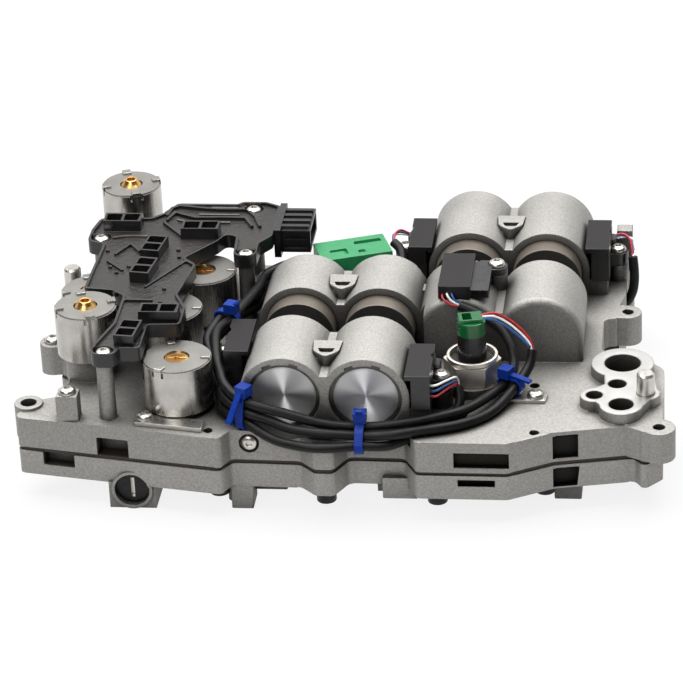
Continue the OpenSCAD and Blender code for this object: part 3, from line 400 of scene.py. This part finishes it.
# Clamp bolts: socket-head screws driven up from below, which hold the castings together.
# They are forged steel, blackened in hot oil.
# Hot blacking: a deep grey, satin and slightly cloudy.
blacked = bare("blackened_steel")
place = put(blacked, "ShaderNodeTexCoord").outputs["Object"]
bloom = put(blacked, "ShaderNodeTexNoise", {"Vector": place, "Scale": 1 / 0.003, "Detail": 3.0})
shade = put(blacked, "ShaderNodeMix", {0: bloom.outputs[0], 6: linear("#19191B"), 7: linear("#343436")},
            data_type="RGBA")
metal = put(blacked, "ShaderNodeBsdfPrincipled", {"Base Color": shade.outputs[2], "Metallic": 0.8,
                                                  "Roughness": 0.4})
put(blacked, "ShaderNodeOutputMaterial", {"Surface": metal.outputs[0]})
clamp_bolts = rounded("clamp_bolts", 0.0004)
clamp_bolts.data.materials.append(blacked)
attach(clamp_bolts, "housing")
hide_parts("clamp_bolts")


# Screws, dowels and small sheet parts: steel, pressed, turned or headed, then zinc plated.
# They are pressed into the castings or screwed down on them.
# Zinc plate: pale and bright, with a soft, cloudy spangle.
zinc = bare("zinc_plated_steel")
place = put(zinc, "ShaderNodeTexCoord").outputs["Object"]
spangle = put(zinc, "ShaderNodeTexNoise", {"Vector": place, "Scale": 1 / 0.0025, "Detail": 3.0})
shade = put(zinc, "ShaderNodeMix", {0: spangle.outputs[0], 6: linear("#B9B6B0"), 7: linear("#D6D3CD")},
            data_type="RGBA")
satin = put(zinc, "ShaderNodeMapRange", {"Value": spangle.outputs[0], "From Min": 0.3, "From Max": 0.7,
                                         "To Min": 0.26, "To Max": 0.34})
metal = put(zinc, "ShaderNodeBsdfPrincipled", {"Base Color": shade.outputs[2], "Metallic": 1.0,
                                               "Roughness": satin.outputs[0]})
put(zinc, "ShaderNodeOutputMaterial", {"Surface": metal.outputs[0]})
for node, radius in (("dowel_pins", 0.0003), ("tie_bracket", 0.0003), ("body_screws", 0.00035),
                     ("frame_fasteners", 0.00035), ("sensor_screws", 0.00035)):
    fitting = rounded(node, radius)
    fitting.data.materials.append(zinc)
    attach(fitting, "housing")
    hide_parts(node)


# Spool plug: a turned steel plug, blackened like the bolts, set back in the mouth of the spool bore.
# Its near-black face also paints the shade in the mouth of the bore, and its driving slot is painted
# bright zinc.
spool_plug = rounded("spool_plug", 0.0003)
spool_plug.data.materials.append(blacked)
spool_plug.data.materials.append(zinc)
slot_x, slot_half, slot_front, slot_back = -0.1155, 0.0011, -0.1052, -0.099
for face in spool_plug.data.polygons:
    if abs(face.center.x - slot_x) < slot_half and slot_front < face.center.y < slot_back:
        face.material_index = 1
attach(spool_plug, "housing")
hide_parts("spool_plug")


# Spool: the valve in the lower casting, turned and ground from steel, free to slide in its bore.
# It is hidden behind the plug, so its solid stays and only takes a finish.
nodes["spool"].data.materials.clear()
nodes["spool"].data.materials.append(zinc)

# Spool spring: six turns of 1.6 mm spring wire, wound cold, between the spool and the end of its bore.
# It pushes the spool back against the plug, and in the part shortens by the spool's travel when that
# slides in; the coil here is laid at one length.
quarter_turns = 24
spring_x, spring_z, spring_r = -115.5, 11.5, 4.6
spring_start, spring_long = -51.5, 19
coil = [(spring_x + spring_r * math.cos(i * math.pi / 2), spring_start + spring_long * i / quarter_turns,
         spring_z + spring_r * math.sin(i * math.pi / 2)) for i in range(quarter_turns + 1)]
spool_spring = lay("spool_return_spring", coil, 0.0016)
bpy.ops.object.select_all(action="DESELECT")
spool_spring.select_set(True)
bpy.context.view_layer.objects.active = spool_spring
bpy.ops.object.convert(target="MESH")
spool_spring.data.materials.append(zinc)
bpy.ops.object.shade_smooth_by_angle(angle=math.radians(50))
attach(spool_spring, "housing")
# Of the 20.8 mm from the spool to the bore's end, 14.8 mm are left at full travel.
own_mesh(spool_spring)
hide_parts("spool_spring")


# Shift pistons: aluminium, turned and hard anodised to a warm grey, two heads with a neck between.
# Each slides in a pair of cylinders on two lip seals of nitrile rubber.
# Hard anodising: a warm grey, half dull, with faint turning marks drawn 1 mm apart.
anodised = bare("hard_anodised_aluminium")
place = put(anodised, "ShaderNodeTexCoord").outputs["Object"]
turning = put(anodised, "ShaderNodeTexWave", {"Vector": place, "Scale": one_wave / 0.001,
                                              "Distortion": 0.4}, wave_type="BANDS", bands_direction="Y")
bloom = put(anodised, "ShaderNodeTexNoise", {"Vector": place, "Scale": 1 / 0.01, "Detail": 3.0})
shade = put(anodised, "ShaderNodeMix", {0: bloom.outputs[0], 6: linear("#655F56"), 7: linear("#837B71")},
            data_type="RGBA")
relief = put(anodised, "ShaderNodeBump", {"Height": turning.outputs[1], "Strength": 0.08,
                                          "Distance": 0.0002})
metal = put(anodised, "ShaderNodeBsdfPrincipled", {"Base Color": shade.outputs[2], "Metallic": 0.7,
                                                   "Roughness": 0.42, "Normal": relief.outputs[0]})
put(anodised, "ShaderNodeOutputMaterial", {"Surface": metal.outputs[0]})

# Nitrile rubber: black and dull, with a faint bloom. The same black also paints the shade on the pistons'
# end faces.
rubber_and_piston_shade = bare("nitrile_rubber_and_piston_shade")
place = put(rubber_and_piston_shade, "ShaderNodeTexCoord").outputs["Object"]
bloom = put(rubber_and_piston_shade, "ShaderNodeTexNoise", {"Vector": place, "Scale": 1 / 0.002, "Detail": 3.0})
shade = put(rubber_and_piston_shade, "ShaderNodeMix", {0: bloom.outputs[0], 6: linear("#121212"), 7: linear("#262524")},
            data_type="RGBA")
soft = put(rubber_and_piston_shade, "ShaderNodeBsdfPrincipled", {"Base Color": shade.outputs[2], "Roughness": 0.6,
                                                "IOR": 1.52})
put(rubber_and_piston_shade, "ShaderNodeOutputMaterial", {"Surface": soft.outputs[0]})
for number in (1, 2, 3, 4):
    piston = rounded(f"shift_piston_{number}", 0.0005)
    piston.data.materials.append(anodised)
    piston.data.materials.append(rubber_and_piston_shade)
    # Painted shade: the faces across the bore, the ends and shoulders of each piston, take the black of
    # the rubber, for the dark gaps between the cylinders.
    for face in piston.data.polygons:
        if abs(face.normal.y) > 0.9:
            face.material_index = 1
    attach(piston, f"piston_{number}")
    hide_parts(f"shift_piston_{number}")
    nodes[f"piston_seals_{number}"].data.materials.clear()
    nodes[f"piston_seals_{number}"].data.materials.append(rubber_and_piston_shade)


# End caps: aluminium discs faced on a lathe, pushed into the open ends of the cylinders.
# The fine rings left by the tool spread each highlight into a fan.
turned = bare("turned_aluminium")
place = put(turned, "ShaderNodeTexCoord").outputs["Object"]
axes = put(turned, "ShaderNodeSeparateXYZ", {"Vector": place})
# The caps stand 45 mm apart, so x folds on to the nearest one's centre.
left_of_middle, half_pitch, cap_z = 0.030, 0.0225, 0.065
to_first = put(turned, "ShaderNodeMath", {0: axes.outputs["X"], 1: left_of_middle}, operation="ADD")
across = put(turned, "ShaderNodeMath", {0: to_first.outputs[0], 1: half_pitch, 2: -half_pitch},
             operation="WRAP")
above = put(turned, "ShaderNodeMath", {0: axes.outputs["Z"], 1: cap_z}, operation="SUBTRACT")
outward = put(turned, "ShaderNodeCombineXYZ", {"X": across.outputs[0], "Z": above.outputs[0]})
spread = put(turned, "ShaderNodeVectorMath", {0: outward.outputs[0]}, operation="NORMALIZE")
# Tool marks are near 0.15 mm apart, drawn at 0.8 mm so that they show in the render.
rings = put(turned, "ShaderNodeTexWave", {"Vector": outward.outputs[0], "Scale": one_wave / 0.0008,
                                          "Distortion": 0.6, "Detail": 2.0},
            wave_type="RINGS", rings_direction="Y")
film = put(turned, "ShaderNodeTexNoise", {"Vector": place, "Scale": 1 / 0.015, "Detail": 3.0})
shade = put(turned, "ShaderNodeMix", {0: film.outputs[0], 6: linear("#E2E2E3"), 7: linear("#FAFAF9")},
            data_type="RGBA")
relief = put(turned, "ShaderNodeBump", {"Height": rings.outputs[1], "Strength": 0.06,
                                        "Distance": 0.0001})
metal = put(turned, "ShaderNodeBsdfPrincipled", {"Base Color": shade.outputs[2], "Metallic": 1.0,
                                                 "Roughness": 0.56, "Anisotropic": 0.95,
                                                 "Tangent": spread.outputs[0],
                                                 "Normal": relief.outputs[0]})
put(turned, "ShaderNodeOutputMaterial", {"Surface": metal.outputs[0]})
nodes["end_caps"].data.materials.clear()
nodes["end_caps"].data.materials.append(turned)

# Retaining rings: stamped spring steel, dark and only half bright under its oil.
# One is sprung into a groove in front of each cap and keeps it in.
spring_steel = bare("oiled_spring_steel")
place = put(spring_steel, "ShaderNodeTexCoord").outputs["Object"]
film = put(spring_steel, "ShaderNodeTexNoise", {"Vector": place, "Scale": 1 / 0.004, "Detail": 3.0})
shade = put(spring_steel, "ShaderNodeMix", {0: film.outputs[0], 6: linear("#3B3937"),
                                            7: linear("#66635F")}, data_type="RGBA")
metal = put(spring_steel, "ShaderNodeBsdfPrincipled", {"Base Color": shade.outputs[2], "Metallic": 1.0,
                                                       "Roughness": 0.4})
put(spring_steel, "ShaderNodeOutputMaterial", {"Surface": metal.outputs[0]})
cap_rings = rounded("cap_rings", 0.0002)
cap_rings.data.materials.append(spring_steel)
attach(cap_rings, "housing")
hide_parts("cap_rings")


# Solenoid cans: steel cups, deep drawn, with a stamped end plate crimped into each rim.
# The walls keep the draw marks and shine, while the end plate is matt.
drawn = bare("deep_drawn_steel")
place = put(drawn, "ShaderNodeTexCoord").outputs["Object"]
# Draw marks run up the wall, about 1 mm apart and many times as long.
upright = put(drawn, "ShaderNodeMapping", {"Vector": place, "Scale": (1.0, 1.0, 0.04)})
marks = put(drawn, "ShaderNodeTexNoise", {"Vector": upright.outputs[0], "Scale": 1 / 0.001,
                                          "Detail": 3.0})
film = put(drawn, "ShaderNodeTexNoise", {"Vector": place, "Scale": 1 / 0.009, "Detail": 3.0})
shade = put(drawn, "ShaderNodeMix", {0: film.outputs[0], 6: linear("#9C9995"), 7: linear("#CBC8C3")},
            data_type="RGBA")
satin = put(drawn, "ShaderNodeMapRange", {"Value": marks.outputs[0], "From Min": 0.3, "From Max": 0.7,
                                          "To Min": 0.23, "To Max": 0.3})
relief = put(drawn, "ShaderNodeBump", {"Height": marks.outputs[0], "Strength": 0.03, "Distance": 0.0002})
metal = put(drawn, "ShaderNodeBsdfPrincipled", {"Base Color": shade.outputs[2], "Metallic": 1.0,
                                                "Roughness": satin.outputs[0],
                                                "Normal": relief.outputs[0]})
put(drawn, "ShaderNodeOutputMaterial", {"Surface": metal.outputs[0]})

# Stamped plate: a matt grey with a fine grit.
stamped = bare("stamped_steel_plate")
place = put(stamped, "ShaderNodeTexCoord").outputs["Object"]
grit = put(stamped, "ShaderNodeTexNoise", {"Vector": place, "Scale": 1 / 0.0009, "Detail": 3.0})
film = put(stamped, "ShaderNodeTexNoise", {"Vector": place, "Scale": 1 / 0.012, "Detail": 4.0})
shade = put(stamped, "ShaderNodeMix", {0: film.outputs[0], 6: linear("#73716D"), 7: linear("#8E8C88")},
            data_type="RGBA")
relief = put(stamped, "ShaderNodeBump", {"Height": grit.outputs[0], "Strength": 0.2, "Distance": 0.0002})
metal = put(stamped, "ShaderNodeBsdfPrincipled", {"Base Color": shade.outputs[2], "Metallic": 0.8,
                                                  "Roughness": 0.5, "Normal": relief.outputs[0]})
put(stamped, "ShaderNodeOutputMaterial", {"Surface": metal.outputs[0]})
plate_depth = 0.0035
for number in range(1, 7):
    can = rounded(f"solenoid_can_{number}", 0.0004)
    can.data.materials.append(drawn)
    can.data.materials.append(stamped)
    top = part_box(f"solenoid_can_{number}")[1].z
    for face in can.data.polygons:
        if face.normal.z > 0.9 and face.center.z > top - plate_depth:
            face.material_index = 1
    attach(can, "housing")
    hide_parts(f"solenoid_can_{number}")

# Solenoid clamp: a flat steel bar, stamped and zinc plated.
# One screw holds it down over the foot of the front solenoid.
solenoid_clamp = rounded("solenoid_clamp", 0.0003)
solenoid_clamp.data.materials.append(zinc)
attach(solenoid_clamp, "housing")
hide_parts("solenoid_clamp")

# Solenoid poles: turned brass, warm and bright, in the middle of the end plates.
# The small solenoids have a cone, and the large ones a sunk plug.
brass = bare("turned_brass")
place = put(brass, "ShaderNodeTexCoord").outputs["Object"]
film = put(brass, "ShaderNodeTexNoise", {"Vector": place, "Scale": 1 / 0.004, "Detail": 3.0})
shade = put(brass, "ShaderNodeMix", {0: film.outputs[0], 6: linear("#C08A45"), 7: linear("#F0CB8A")},
            data_type="RGBA")
metal = put(brass, "ShaderNodeBsdfPrincipled", {"Base Color": shade.outputs[2], "Metallic": 1.0,
                                                "Roughness": 0.28})
put(brass, "ShaderNodeOutputMaterial", {"Surface": metal.outputs[0]})
for number in range(1, 7):
    pole = rounded(f"solenoid_pole_{number}", 0.00025)
    pole.data.materials.append(brass)
    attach(pole, "housing")
    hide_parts(f"solenoid_pole_{number}")


# Lead frame: the plastic carrier over the solenoids, moulded in glass-filled PBT round its conductors.
# Its flat top and socket rims are painted dark brown, a little lighter than its beads and sides, which
# are black.
carrier = bare("glass_filled_pbt")
place = put(carrier, "ShaderNodeTexCoord").outputs["Object"]
fibre = put(carrier, "ShaderNodeTexNoise", {"Vector": place, "Scale": 1 / 0.0008, "Detail": 4.0})
cloud = put(carrier, "ShaderNodeTexNoise", {"Vector": place, "Scale": 1 / 0.018, "Detail": 3.0})
shade = put(carrier, "ShaderNodeMix", {0: cloud.outputs[0], 6: linear("#191615"), 7: linear("#2A2624")},
            data_type="RGBA")
grain = put(carrier, "ShaderNodeBump", {"Height": fibre.outputs[0], "Strength": 0.25,
                                        "Distance": 0.0002})
# The skin sinks a little between the buried conductors, every 3 mm or so, and an oil film shines on it.
sinks = put(carrier, "ShaderNodeTexNoise", {"Vector": place, "Scale": 1 / 0.003, "Detail": 2.0})
relief = put(carrier, "ShaderNodeBump", {"Height": sinks.outputs[0], "Strength": 0.5, "Distance": 0.0012,
                                         "Normal": grain.outputs[0]})
oily = put(carrier, "ShaderNodeMapRange", {"Value": cloud.outputs[0], "From Min": 0.3, "From Max": 0.7,
                                           "To Min": 0.28, "To Max": 0.5})
moulding = put(carrier, "ShaderNodeBsdfPrincipled", {"Base Color": shade.outputs[2],
                                                     "Roughness": oily.outputs[0],
                                                     "IOR": 1.55, "Specular IOR Level": 0.35,
                                                     "Normal": relief.outputs[0]})
put(carrier, "ShaderNodeOutputMaterial", {"Surface": moulding.outputs[0]})

# Black PBT: near black, with a soft and uneven gloss.
black = bare("black_pbt")
place = put(black, "ShaderNodeTexCoord").outputs["Object"]
flow = put(black, "ShaderNodeTexNoise", {"Vector": place, "Scale": 1 / 0.006, "Detail": 3.0})
shade = put(black, "ShaderNodeMix", {0: flow.outputs[0], 6: linear("#0B0A0B"), 7: linear("#1B191A")},
            data_type="RGBA")
gloss = put(black, "ShaderNodeMapRange", {"Value": flow.outputs[0], "From Min": 0.3, "From Max": 0.7,
                                          "To Min": 0.24, "To Max": 0.4})
moulding = put(black, "ShaderNodeBsdfPrincipled", {"Base Color": shade.outputs[2],
                                                   "Roughness": gloss.outputs[0], "IOR": 1.55})
put(black, "ShaderNodeOutputMaterial", {"Surface": moulding.outputs[0]})
lead_frame = rounded("lead_frame", 0.0004)
lead_frame.data.materials.append(black)
lead_frame.data.materials.append(carrier)
top_below, rims_above = 0.0915, 0.096
for face in lead_frame.data.polygons:
    on_top = face.normal.z > 0.9 and face.center.z < top_below
    socket_rim = face.normal.z > 0.9 and face.center.z > rims_above
    if on_top or socket_rim:
        face.material_index = 1
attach(lead_frame, "housing")
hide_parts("lead_frame")

# Conductor strips: copper stamped from sheet, under a dull silver grey coat of tin.
# They lie bare on the frame between its beads.
tinned = bare("tinned_copper")
place = put(tinned, "ShaderNodeTexCoord").outputs["Object"]
film = put(tinned, "ShaderNodeTexNoise", {"Vector": place, "Scale": 1 / 0.004, "Detail": 3.0})
shade = put(tinned, "ShaderNodeMix", {0: film.outputs[0], 6: linear("#5C5855"), 7: linear("#8A8682")},
            data_type="RGBA")
metal = put(tinned, "ShaderNodeBsdfPrincipled", {"Base Color": shade.outputs[2], "Metallic": 1.0,
                                                 "Roughness": 0.4})
put(tinned, "ShaderNodeOutputMaterial", {"Surface": metal.outputs[0]})
nodes["conductor_strips"].data.materials.clear()
nodes["conductor_strips"].data.materials.append(tinned)

# Main connector: the shroud at the frame's right end that takes the outside plug.
# It is moulded in the same black PBT as the beads of the frame.
main_connector = rounded("main_connector", 0.0005)
main_connector.data.materials.append(black)
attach(main_connector, "housing")
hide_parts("main_connector")


# Position sensors: black PBT boxes beside and on the rails, each potted behind a satin lid.
# A lug with one screw holds each sensor on its boss.
lid = bare("satin_pbt_lid")
place = put(lid, "ShaderNodeTexCoord").outputs["Object"]
fibre = put(lid, "ShaderNodeTexNoise", {"Vector": place, "Scale": 1 / 0.0009, "Detail": 3.0})
shade = put(lid, "ShaderNodeMix", {0: fibre.outputs[0], 6: linear("#141213"), 7: linear("#201D1E")},
            data_type="RGBA")
relief = put(lid, "ShaderNodeBump", {"Height": fibre.outputs[0], "Strength": 0.15, "Distance": 0.0002})
moulding = put(lid, "ShaderNodeBsdfPrincipled", {"Base Color": shade.outputs[2], "Roughness": 0.5,
                                                 "IOR": 1.55, "Specular IOR Level": 0.17,
                                                 "Normal": relief.outputs[0]})
put(lid, "ShaderNodeOutputMaterial", {"Surface": moulding.outputs[0]})
lid_depth = 0.0005
for number in range(1, 6):
    sensor = rounded(f"position_sensor_{number}", 0.0004)
    sensor.data.materials.append(black)
    sensor.data.materials.append(lid)
    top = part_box(f"position_sensor_{number}")[1].z
    for face in sensor.data.polygons:
        if face.normal.z > 0.9 and face.center.z > top - lid_depth:
            face.material_index = 1
    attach(sensor, "housing")
    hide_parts(f"position_sensor_{number}")


# Sensor wires: three thin copper wires from each sensor that has a lead, into the end of its sheath.
# Their PVC insulation is white, red and blue.
def wire_pvc(name, deep, light):
    """Wire insulation: a clear, slightly uneven colour with a soft gloss."""
    insulation = bare(name)
    place = put(insulation, "ShaderNodeTexCoord").outputs["Object"]
    flow = put(insulation, "ShaderNodeTexNoise", {"Vector": place, "Scale": 1 / 0.002, "Detail": 2.0})
    shade = put(insulation, "ShaderNodeMix", {0: flow.outputs[0], 6: linear(deep), 7: linear(light)},
                data_type="RGBA")
    jacket = put(insulation, "ShaderNodeBsdfPrincipled", {"Base Color": shade.outputs[2],
                                                          "Roughness": 0.35, "IOR": 1.53})
    put(insulation, "ShaderNodeOutputMaterial", {"Surface": jacket.outputs[0]})
    return insulation


wire_colours = {"white": wire_pvc("white_wire_pvc", "#D6D3CE", "#F2F0EC"),
                "red": wire_pvc("red_wire_pvc", "#8E0F14", "#C4212A"),
                "blue": wire_pvc("blue_wire_pvc", "#123F78", "#2A66A8")}
# Routes of the wires, in mm, from the sensor to the sheath.
wire_runs = (
    ("sensor_2", "white", ((50.2, -95, 72.6), (54, -94.6, 73), (59, -88, 72.4), (62.8, -80, 70),
                           (64, -76.4, 66), (64, -77.3, 62.8))),
    ("sensor_2", "blue", ((50.2, -95, 69.4), (54, -94.4, 69.6), (58.6, -88, 69.4), (62.2, -80.6, 67.6),
                          (63.4, -76.9, 65.2), (63.4, -77.2, 62.8))),
    ("sensor_2", "red", ((50.2, -95, 66.2), (54, -94.2, 66), (58.4, -88.2, 66.6), (62, -81.4, 66),
                         (63.8, -77.6, 64.4), (64.3, -77.8, 62.8))),
    ("sensor_3", "white", ((54, -23.2, 92), (54.6, -25.4, 91.5), (57, -26.8, 89), (61.4, -27, 86.6))),
    ("sensor_3", "red", ((51.4, -23.2, 91.4), (52, -25.8, 90), (56, -27.4, 87.4), (61.4, -27.4, 86))),
    ("sensor_3", "blue", ((56.6, -23.2, 92), (57.2, -25.2, 91.4), (59, -26.4, 88.9), (61.4, -26.4, 87))),
    ("fluid_sensor", "red", ((74, -51.6, 93), (82, -46.8, 92.4), (90, -45, 87.6), (97.4, -45.6, 81.4),
                             (101.8, -47.2, 75.6), (103.2, -49, 71.2))),
    ("fluid_sensor", "white", ((74, -52.8, 92.8), (82, -48, 91), (89.6, -46.2, 86), (96.6, -46.8, 80),
                               (101.2, -48, 74.8), (102.6, -49.4, 71.2))),
    ("fluid_sensor", "blue", ((74, -54, 92.6), (81.8, -49.4, 89.6), (89, -47.6, 84.4), (96, -48, 78.4),
                              (100.8, -49, 74), (102.8, -48.6, 71.2))),
    ("sensor_4", "red", ((21.5, 87, 74.6), (17.4, 84.6, 77.6), (15, 77.6, 79), (14.4, 71.2, 77))),
    ("sensor_4", "blue", ((21.5, 88.6, 73), (16.6, 86, 75.6), (13.6, 78, 77.6), (14, 71.2, 76.6))),
    ("sensor_4", "white", ((21.5, 90.2, 71.6), (15.6, 87.4, 73.6), (12.2, 78.6, 76), (13.8, 71, 76))),
    ("sensor_5", "red", ((143.5, 87, 75), (147.6, 86.6, 75.6), (151.4, 83, 74.2), (153, 78.4, 69.8),
                         (153.2, 75.7, 66.8))),
    ("sensor_5", "blue", ((143.5, 88, 73.4), (147.8, 87.8, 74), (152, 84, 72.8), (153.6, 79, 69.6),
                          (153.8, 75.7, 66.8))),
    ("sensor_5", "white", ((143.5, 89.4, 71.6), (149, 90.2, 72), (153.8, 86.6, 71.8), (155, 80.4, 69.6),
                           (153.6, 75.3, 66.8))))
for sensor, colour, run in wire_runs:
    wire = lay(f"{sensor}_{colour}_wire", run, 0.0013)
    wire.data.bevel_resolution = 3
    bpy.ops.object.select_all(action="DESELECT")
    wire.select_set(True)
    bpy.context.view_layer.objects.active = wire
    bpy.ops.object.convert(target="MESH")
    wire.data.materials.append(wire_colours[colour])
    bpy.ops.object.shade_smooth_by_angle(angle=math.radians(50))
    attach(wire, "housing")


# Fluid sensor: a nickel-plated hexagon screwed into the casting, with a black PBT stem in its cup.
# A green plug is pushed on to the stem.
# Nickel plate: a warm, soft silver.
nickel = bare("nickel_plated_steel")
place = put(nickel, "ShaderNodeTexCoord").outputs["Object"]
film = put(nickel, "ShaderNodeTexNoise", {"Vector": place, "Scale": 1 / 0.006, "Detail": 3.0})
shade = put(nickel, "ShaderNodeMix", {0: film.outputs[0], 6: linear("#C4BDB2"), 7: linear("#F0ECE4")},
            data_type="RGBA")
metal = put(nickel, "ShaderNodeBsdfPrincipled", {"Base Color": shade.outputs[2], "Metallic": 1.0,
                                                 "Roughness": 0.42})
put(nickel, "ShaderNodeOutputMaterial", {"Surface": metal.outputs[0]})
hexagon = rounded("fluid_sensor_body", 0.0005)
hexagon.data.materials.append(nickel)
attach(hexagon, "housing")
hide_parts("fluid_sensor_body")
stem = rounded("fluid_sensor_stem", 0.0004)
stem.data.materials.append(black)
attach(stem, "housing")
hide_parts("fluid_sensor_stem")


def green_pbt(name, deep, light, rough):
    """Coloured PBT: an even moulded colour with faint flow streaks and a soft gloss."""
    plastic = bare(name)
    place = put(plastic, "ShaderNodeTexCoord").outputs["Object"]
    flow = put(plastic, "ShaderNodeTexNoise", {"Vector": place, "Scale": 1 / 0.005, "Detail": 3.0})
    shade = put(plastic, "ShaderNodeMix", {0: flow.outputs[0], 6: linear(deep), 7: linear(light)},
                data_type="RGBA")
    moulding = put(plastic, "ShaderNodeBsdfPrincipled", {"Base Color": shade.outputs[2],
                                                         "Roughness": rough, "IOR": 1.55})
    put(plastic, "ShaderNodeOutputMaterial", {"Surface": moulding.outputs[0]})
    return plastic


fluid_plug = rounded("fluid_sensor_plug", 0.0003)
fluid_plug.data.materials.append(green_pbt("green_pbt", "#054A20", "#0B6331", 0.25))
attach(fluid_plug, "housing")
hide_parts("fluid_sensor_plug")


# Harness plug: a pale green PBT block on a rest behind the front cylinders.
# The sheathed leads go into its left end and its front, and a slotted cover closes it.
harness_plug = rounded("harness_plug", 0.0006)
harness_plug.data.materials.append(green_pbt("pale_green_pbt", "#1B7444", "#288C57", 0.42))
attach(harness_plug, "housing")
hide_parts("harness_plug")


# Cable ties: blue nylon straps drawn tight round the leads, each with a square head and a cut tail.
# The strap is moulded in one piece with its head.
# Blue nylon: a deep, even blue with a dull gloss.
nylon = bare("blue_nylon")
place = put(nylon, "ShaderNodeTexCoord").outputs["Object"]
flow = put(nylon, "ShaderNodeTexNoise", {"Vector": place, "Scale": 1 / 0.003, "Detail": 3.0})
shade = put(nylon, "ShaderNodeMix", {0: flow.outputs[0], 6: linear("#04206B"), 7: linear("#0A368F")},
            data_type="RGBA")
moulding = put(nylon, "ShaderNodeBsdfPrincipled", {"Base Color": shade.outputs[2], "Roughness": 0.42,
                                                   "IOR": 1.53, "Specular IOR Level": 0.15})
put(nylon, "ShaderNodeOutputMaterial", {"Surface": moulding.outputs[0]})
cable_ties = rounded("cable_ties", 0.0003)
cable_ties.data.materials.append(nylon)
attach(cable_ties, "housing")
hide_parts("cable_ties")


# Studio: a pale floor under the feet, one large soft lamp overhead and a weak one in front.
# The background is white paper behind the part, which the camera and the metals see.
floor_paint = bare("pale_floor")
place = put(floor_paint, "ShaderNodeTexCoord").outputs["Object"]
patch = put(floor_paint, "ShaderNodeTexNoise", {"Vector": place, "Scale": 1 / 0.4, "Detail": 2.0})
shade = put(floor_paint, "ShaderNodeMix", {0: patch.outputs[0], 6: linear("#D8D8D8"),
                                           7: linear("#DCDCDC")}, data_type="RGBA")
chalk = put(floor_paint, "ShaderNodeBsdfPrincipled", {"Base Color": shade.outputs[2], "Roughness": 0.9})
# To the camera, and in metal and glass, most of the floor's brightness is plain white.
ray = put(floor_paint, "ShaderNodeLightPath")
mirrored = put(floor_paint, "ShaderNodeMath", {0: ray.outputs["Is Glossy Ray"],
                                               1: ray.outputs["Is Transmission Ray"]},
               operation="MAXIMUM")
seen = put(floor_paint, "ShaderNodeMath", {0: ray.outputs["Is Camera Ray"], 1: mirrored.outputs[0]},
           operation="MAXIMUM")
white_share = 0.85
share = put(floor_paint, "ShaderNodeMath", {0: seen.outputs[0], 1: white_share}, operation="MULTIPLY")
glow = put(floor_paint, "ShaderNodeEmission", {"Color": linear("#FFFFFF"), "Strength": 1.0})
surface = put(floor_paint, "ShaderNodeMixShader", {0: share.outputs[0], 1: chalk.outputs[0],
                                                   2: glow.outputs[0]})
put(floor_paint, "ShaderNodeOutputMaterial", {"Surface": surface.outputs[0]})
bpy.ops.mesh.primitive_plane_add(size=8.0, location=(0, 0, 0))
floor = bpy.context.object
floor.name = "floor"
floor.data.materials.append(floor_paint)


def lamp(name, watts, width, depth, spot, target):
    """Soft box of that size, aimed at a point."""
    light = bpy.data.lights.new(name, "AREA")
    light.shape = "RECTANGLE"
    light.size = width
    light.size_y = depth
    light.energy = watts
    box = bpy.data.objects.new(name, light)
    scene.collection.objects.link(box)
    box.location = spot
    box.rotation_euler = (Vector(target) - Vector(spot)).to_track_quat("-Z", "Y").to_euler()


lamp("overhead_box", watts=29.0, width=1.6, depth=1.2, spot=(-0.05, 0.15, 1.0), target=(0, 0, 0.05))
lamp("front_box", watts=5.0, width=0.7, depth=0.5, spot=(-0.32, -0.95, 0.85), target=(0, 0, 0.05))

world = bpy.data.worlds.new("studio")
scene.world = world
world.use_nodes = True
world.node_tree.nodes.clear()
ray = put(world, "ShaderNodeLightPath")
# The paper stands behind the part, so the metals see it only in that direction.
sight = put(world, "ShaderNodeTexCoord").outputs["Generated"]
axes = put(world, "ShaderNodeSeparateXYZ", {"Vector": sight})
behind = put(world, "ShaderNodeMapRange", {"Value": axes.outputs["Y"], "From Min": 0.1, "From Max": 0.5})
mirrored = put(world, "ShaderNodeMath", {0: ray.outputs["Is Glossy Ray"], 1: behind.outputs[0]},
               operation="MULTIPLY")
direct = put(world, "ShaderNodeMath", {0: ray.outputs["Is Camera Ray"],
                                       1: ray.outputs["Is Transmission Ray"]}, operation="MAXIMUM")
seen = put(world, "ShaderNodeMath", {0: direct.outputs[0], 1: mirrored.outputs[0]}, operation="MAXIMUM")
dim = put(world, "ShaderNodeBackground", {"Color": linear("#FFFFFF"), "Strength": 0.09})
white = put(world, "ShaderNodeBackground", {"Color": linear("#FFFFFF"), "Strength": 1.0})
room = put(world, "ShaderNodeMixShader", {0: seen.outputs[0], 1: dim.outputs[0], 2: white.outputs[0]})
put(world, "ShaderNodeOutputWorld", {"Surface": room.outputs[0]})
scene.view_settings.view_transform = "Standard"
